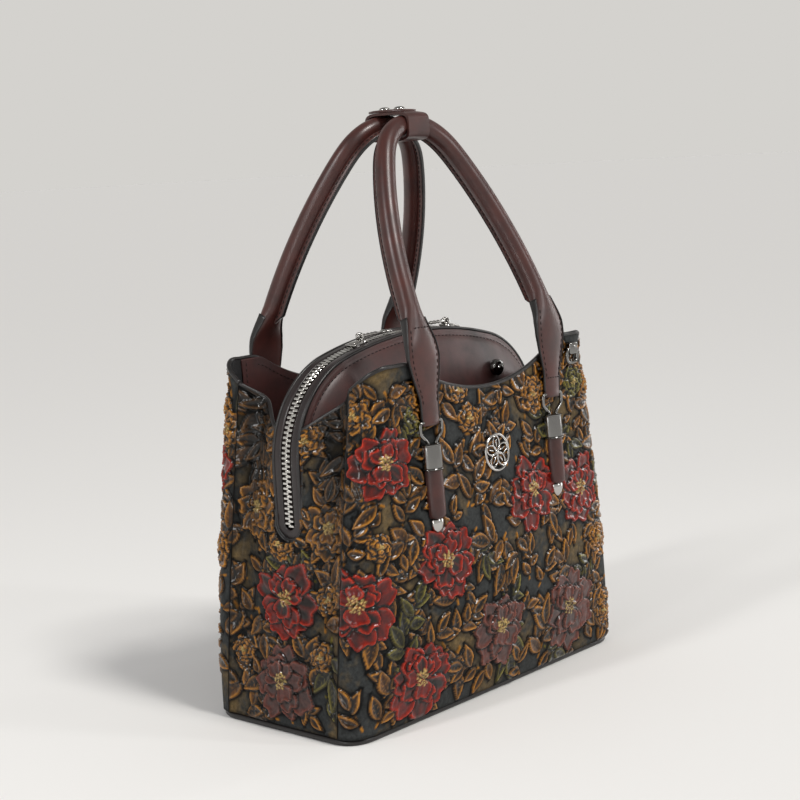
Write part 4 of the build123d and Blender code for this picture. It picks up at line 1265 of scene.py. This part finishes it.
def makeKeeper():
    k = keeper
    xs = np.linspace(-k["half"], k["half"], 13)
    c, s = squaredCircle(k["around"], 0.45)
    curve = 0.4 / (2 * apexRadius / mm)
    shells = []
    for grow in (k["thick"], 0.0):
        rows = []
        for x in xs:
            level = k["level"] + (k["high"] + grow) * s - x * x * curve
            rows.append(np.stack([np.full(k["around"], x), (k["long"] + grow) * c, level], 1))
        shells.append(np.array(rows) * mm)
    outer, inner = shells
    section = np.concatenate([inner[:1], outer, inner[-1:]])
    bm = bendGrid(np.concatenate([section, inner[::-1][1:]]), wrap=True)
    addPiece("handle_keeper", bm, handleLeather, ["handle_keeper"], sharp=50)
    flapTop = k["level"] + k["high"] + k["thick"] + 0.1
    flap = bmesh.new()
    block(flap, (2 * k["half"] + 0.6, 2 * k["flapLong"], 1.7), (0, k["flapShift"], flapTop + 0.85), 0.6, 2)
    bmesh.ops.subdivide_edges(flap, edges=flap.edges, cuts=3, use_grid_fill=True)
    for v in flap.verts:
        far = max(abs(v.co.y - k["flapShift"]) - 9, 0)
        v.co.x *= 1 - 0.055 * far  # the flap's ends narrow
        v.co.z -= 0.012 * far**2 + v.co.x**2 * curve
    moveAll(flap, Matrix.Scale(mm, 4))
    addPiece("keeper_flap", flap, handleLeather, sharp=50)
    caps = bmesh.new()
    for side in (-1, 1):
        lathe(caps, k["cap"], (0, k["flapShift"] + side * k["capGap"], flapTop + 1.6))
    moveAll(caps, Matrix.Scale(mm, 4))
    addPiece("keeper_snaps", caps, litNickel, ["keeper_snaps"])


makeKeeper()
print("keeper wrapped")


# badge: a plain blossom in a ring

badge = dict(level=173, radius=12.6, rim=0.95, lift=1.2,
             petal=5.2, petalHalf=3.4, petalOut=6.3, petalWire=0.62)


def makeBadge():
    b = badge
    level = b["level"] * mm
    low, high = (np.array([0, skin(0, level + d * mm), level + d * mm]) for d in (-10, 10))
    up = (high - low) / np.linalg.norm(high - low)
    out = np.cross([1, 0, 0], up)
    centre = np.array([0, skin(0, level) - b["lift"] * mm - 0.6 * mm, level])
    bm = bmesh.new()
    ring = [(b["radius"] * math.cos(a), b["radius"] * math.sin(a), 0)
            for a in np.linspace(0, 2 * math.pi, 61)]
    ringInto(bm, ring, b["rim"], (0, 0, 1), 12)
    for k in range(5):
        petal = spoke(0, b["petalOut"], math.radians(90 + 72 * k))
        outline = [petal @ Vector((b["petal"] * math.cos(t), b["petalHalf"] * math.sin(t), 0))
                   for t in np.linspace(0, 2 * math.pi, 33)]
        ringInto(bm, outline, b["petalWire"], (0, 0, 1), 8)
        bead(bm, petal, (3.0, 0.6, 0.6))
    bead(bm, Matrix(), (2.0, 2.0, 1.1), 16, 8)
    moveAll(bm, Matrix.Translation(Vector(centre)) @ axesMatrix((1, 0, 0), up, out) @ Matrix.Scale(mm, 4))
    addPiece("badge", bm, litNickel, ["badge"])


makeBadge()


# snaps, strap rings, piping and seams

snap = dict(reach=68, level=222, place=27.2,
            stud=((0.01, 4.2), (1.6, 4.1), (2.4, 3.4), (2.6, 2.2), (4.6, 2.0), (5.7, 1.5), (6.0, 0.6),
                  (6.0, -2.4)),
            socket=((2.9, 0.3), (3.2, 2.0), (5.2, 2.0), (6.0, 1.4), (6.0, -0.2)))


def makeSnaps():
    studs, sockets = bmesh.new(), bmesh.new()
    for side in (-1, 1):
        x, z = side * snap["reach"], snap["level"]
        lathe(studs, snap["stud"], (x, -snap["place"], z), (0, -1, 0))
        y = (skin(x * mm, z * mm) + bag["leather"]) / mm + 1.5
        lathe(sockets, snap["socket"], (x, y, z), (0, 1, 0))
    for name, bm in (("snap_studs", studs), ("snap_sockets", sockets)):
        moveAll(bm, Matrix.Scale(mm, 4))
        addPiece(name, bm, shadedNickel, [name], sharp=60)


makeSnaps()

strapRing = dict(reach=95, level=235, half=6.2, drop=10.8, wire=1.2, holder=(9.4, 5.6, 9.0),
                 rivet=((0.01, 1.0), (1.4, 0.7), (1.8, 0.0)))


def makeStrapRing(turn, holderName, ringName, body):
    r = strapRing
    low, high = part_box("strap_holder_front")
    middle = (low + high) / 2 / mm
    bm = bmesh.new()
    block(bm, r["holder"], middle, 1.6, 4)
    lathe(bm, r["rivet"], (middle.x, middle.y - r["holder"][1] / 2, middle.z + 1.0), (0, -1, 0))
    moveAll(bm, turnMatrix(turn) @ Matrix.Scale(mm, 4))
    addPiece(holderName, bm, shadedNickel, [holderName], sharp=60)
    corners = [(-r["half"], 0), (r["half"], 0), (r["half"], -r["drop"]), (-r["half"], -r["drop"])]
    loop = [((r["reach"] + a) * mm, middle.y * mm, (r["level"] + b) * mm) for a, b in corners]
    path = turned(roundLoop(loop, 5.4 * mm, 10), turn)
    ring = wire(path, r["wire"] * mm, (0, -1, 0))
    addPiece(ringName, ring, shadedNickel, [ringName], body=body)


makeStrapRing(1, "strap_holder_front", "strap_ring_front", "ring_front")
makeStrapRing(-1, "strap_holder_back", "strap_ring_back", "ring_back")

piping = dict(radius=2.0 * mm, top=1.5 * mm)
low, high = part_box("base_piping")
x, y, z = high.x - piping["radius"], high.y - piping["radius"], piping["radius"]
rimPath = roundLoop([(-x, -y, z), (x, -y, z), (x, y, z), (-x, y, z)], 20 * mm, 12)
rim = wire(rimPath, piping["radius"], (0, 0, 1), 14)
addPiece("base_piping", rim, edgeLeather, ["base_piping"])
for name, points, normals in (("front_top_edge", frontPoints, frontNormals),
                              ("back_top_edge", backPoints, backNormals)):
    path = resample(points[-1] - normals[-1] * bag["leather"] / 2, 2 * mm)
    across, out = frames(path, (0, 1, 0))
    edge = softTube(path, across, out, piping["top"], piping["top"], 12)
    addPiece(name, edge, edgeLeather)
    row = (points[-1] - normals[-1] * (bag["leather"] + 1.3 * mm))[::2]
    row = row[np.abs(row[:, 0]) < 98 * mm] - np.array([0, 0, 5 * mm])
    stitchRow(row, normals[0, normals.shape[1] // 2] * -1, "facing")

for facing, turn in (("front_facing", 1), ("back_facing", -1)):
    low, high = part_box(facing)
    tree = nodeTreeOf(facing)
    for side in (-1, 1):
        hits = [hitFrom(tree, (side * (high.x - 4 * mm), -30 * mm, z), (0, -1, 0), turn)
                for z in np.linspace(low.z + 2 * mm, high.z - 2 * mm, 30)]
        row = np.array([hit for hit in hits if hit is not None])
        if len(row) > 4:
            stitchRow(turned(row, turn), (0, turn, 0), "facing")
addPiece("thread", stitches, thread)
print("trim and thread done")


# finish of the CAD pieces that keep their shape

keepCad(["front_facing", "back_facing"], brownLeather)
keepCad(["base_panel"], edgeLeather)
keepCad(["base_board"], boardMaterial)

lining = dict(half=100, foot=4.5, top=196, place=58.7, thick=0.5, wave=1.3)


def makeLining(name, turn):
    # loose cloth hung from the facing, with shallow upright folds
    c = lining
    xs, zs = np.meshgrid(np.linspace(-c["half"], c["half"], 91), np.linspace(c["foot"], c["top"], 61))
    slack = np.clip((c["top"] - zs) / 60, 0, 1)
    ys = c["wave"] * slack * (np.sin(xs / 9 + zs / 70) * 0.6 + np.sin(xs / 21 + 1.3) * 0.4)
    bm = bendGrid(turned(np.stack([xs, ys - c["place"], zs], -1) * mm, turn))
    bmesh.ops.recalc_face_normals(bm, faces=bm.faces)
    bmesh.ops.solidify(bm, geom=bm.faces, thickness=c["thick"] * mm)
    piece = addPiece(name, bm, liningCloth, [name])


makeLining("front_lining", 1)
makeLining("back_lining", -1)
keepCad(["zip_tape_front", "zip_tape_back"], tapeCloth)

# floor, light and camera

studio = dict(floor=(0.80, 0.79, 0.77), far=(0.658, 0.644, 0.617), ambient=(0.95, 0.95, 0.96),
              sunPower=1.75, sunAngle=13, sunColour=(1, 0.98, 0.95), sunWay=(-0.1, 0.8, -1.1),
              eye=(-899.3, -790.6, 375.9), lens=75.1, azimuth=-48.29, elevation=8.08, roll=-3.02)

floorBm = bmesh.new()
bmesh.ops.create_grid(floorBm, x_segments=1, y_segments=1, size=60)
floorMesh = bpy.data.meshes.new("floor")
floorBm.to_mesh(floorMesh)
floorBm.free()
floorObject = bpy.data.objects.new("floor", floorMesh)
scene.collection.objects.link(floorObject)
floorMesh.materials.append(newMaterial("paleTable", studio["floor"], 0.9, specular=0.0)[0])


def softLight(name, place, aim, size, power, spread=180):
    data = bpy.data.lights.new(name, "AREA")
    data.shape = "RECTANGLE"
    data.size, data.size_y = size
    data.energy = power
    data.spread = math.radians(spread)
    lamp = bpy.data.objects.new(name, data)
    scene.collection.objects.link(lamp)
    lamp.location = place
    lamp.rotation_euler = (Vector(aim) - Vector(place)).to_track_quat("-Z", "Y").to_euler()
    lamp.visible_camera = False


sun = bpy.data.lights.new("keySun", "SUN")
sun.energy = studio["sunPower"]
sun.angle = math.radians(studio["sunAngle"])
sun.color = studio["sunColour"]
sunObject = bpy.data.objects.new("keySun", sun)
scene.collection.objects.link(sunObject)
sunObject.rotation_euler = Vector(studio["sunWay"]).to_track_quat("-Z", "Y").to_euler()
softLight("glintLight", (-1.3, 0.1, 1.3), (0, 0, 0.2), (0.14, 0.4), 7)
softLight("fillLight", (0.6, -1.6, 0.9), (0, 0, 0.2), (0.12, 0.4), 5)
# tall strips low at either side, for bright lines along the metal
softLight("leftStrip", (-1.5, -0.32, 0.5), (0, 0, 0.3), (0.16, 0.95), 0.4, 60)
softLight("rightStrip", (1.4, -0.5, 0.5), (0, 0, 0.3), (0.16, 0.95), 0.4, 60)

world = bpy.data.worlds.new("studioWorld")
scene.world = world
world.use_nodes = True
worldNodes, worldLinks = world.node_tree.nodes, world.node_tree.links
ambient = worldNodes["Background"]
ambient.inputs["Color"].default_value = (*studio["ambient"], 1)
heading = worldNodes.new("ShaderNodeTexCoord")
axes = worldNodes.new("ShaderNodeSeparateXYZ")
worldLinks.new(heading.outputs["Generated"], axes.inputs["Vector"])
# soft light from above, darker sides for the metal and the lacquer to mirror
fade = rangeNode(worldNodes, worldLinks, axes.outputs["Z"], 0.08, 0.52, 0.05, 0.9)
worldLinks.new(fade.outputs["Result"], ambient.inputs["Strength"])
plain = worldNodes.new("ShaderNodeBackground")
plain.inputs["Color"].default_value = (*studio["far"], 1)
# the backdrop is even at the floor's far edge and darker overhead, for the eye and for mirrors alike
height = rangeNode(worldNodes, worldLinks, axes.outputs["Z"], 1.0, 0.35, 0.15, 0.75)
worldLinks.new(height.outputs["Result"], plain.inputs["Strength"])
seen = worldNodes.new("ShaderNodeLightPath")
mirrored = largerNode(worldNodes, worldLinks, seen.outputs["Is Camera Ray"], seen.outputs["Is Glossy Ray"])
shown = largerNode(worldNodes, worldLinks, mirrored.outputs["Value"], seen.outputs["Is Transmission Ray"])
mixed = worldNodes.new("ShaderNodeMixShader")
worldLinks.new(shown.outputs["Value"], mixed.inputs["Fac"])
worldLinks.new(ambient.outputs["Background"], mixed.inputs[1])
worldLinks.new(plain.outputs["Background"], mixed.inputs[2])
worldLinks.new(mixed.outputs["Shader"], worldNodes["World Output"].inputs["Surface"])

turnAngle, riseAngle, rollAngle = (math.radians(studio[k]) for k in ("azimuth", "elevation", "roll"))
back = Vector((math.sin(turnAngle) * math.cos(riseAngle), -math.cos(turnAngle) * math.cos(riseAngle),
               math.sin(riseAngle)))
right = Vector((math.cos(turnAngle), math.sin(turnAngle), 0))
above = back.cross(right)
rolledRight = right * math.cos(rollAngle) + above * math.sin(rollAngle)
rolledAbove = above * math.cos(rollAngle) - right * math.sin(rollAngle)
cameraData = bpy.data.cameras.new("photoCamera")
cameraData.sensor_width = 36
cameraData.lens = studio["lens"]
camera = bpy.data.objects.new("photoCamera", cameraData)
scene.collection.objects.link(camera)
eye = Matrix.Translation(Vector(studio["eye"]) * mm)
camera.matrix_world = eye @ axesMatrix(rolledRight, rolledAbove, back)
scene.camera = camera
scene.view_settings.view_transform = "Standard"
print("studio set")
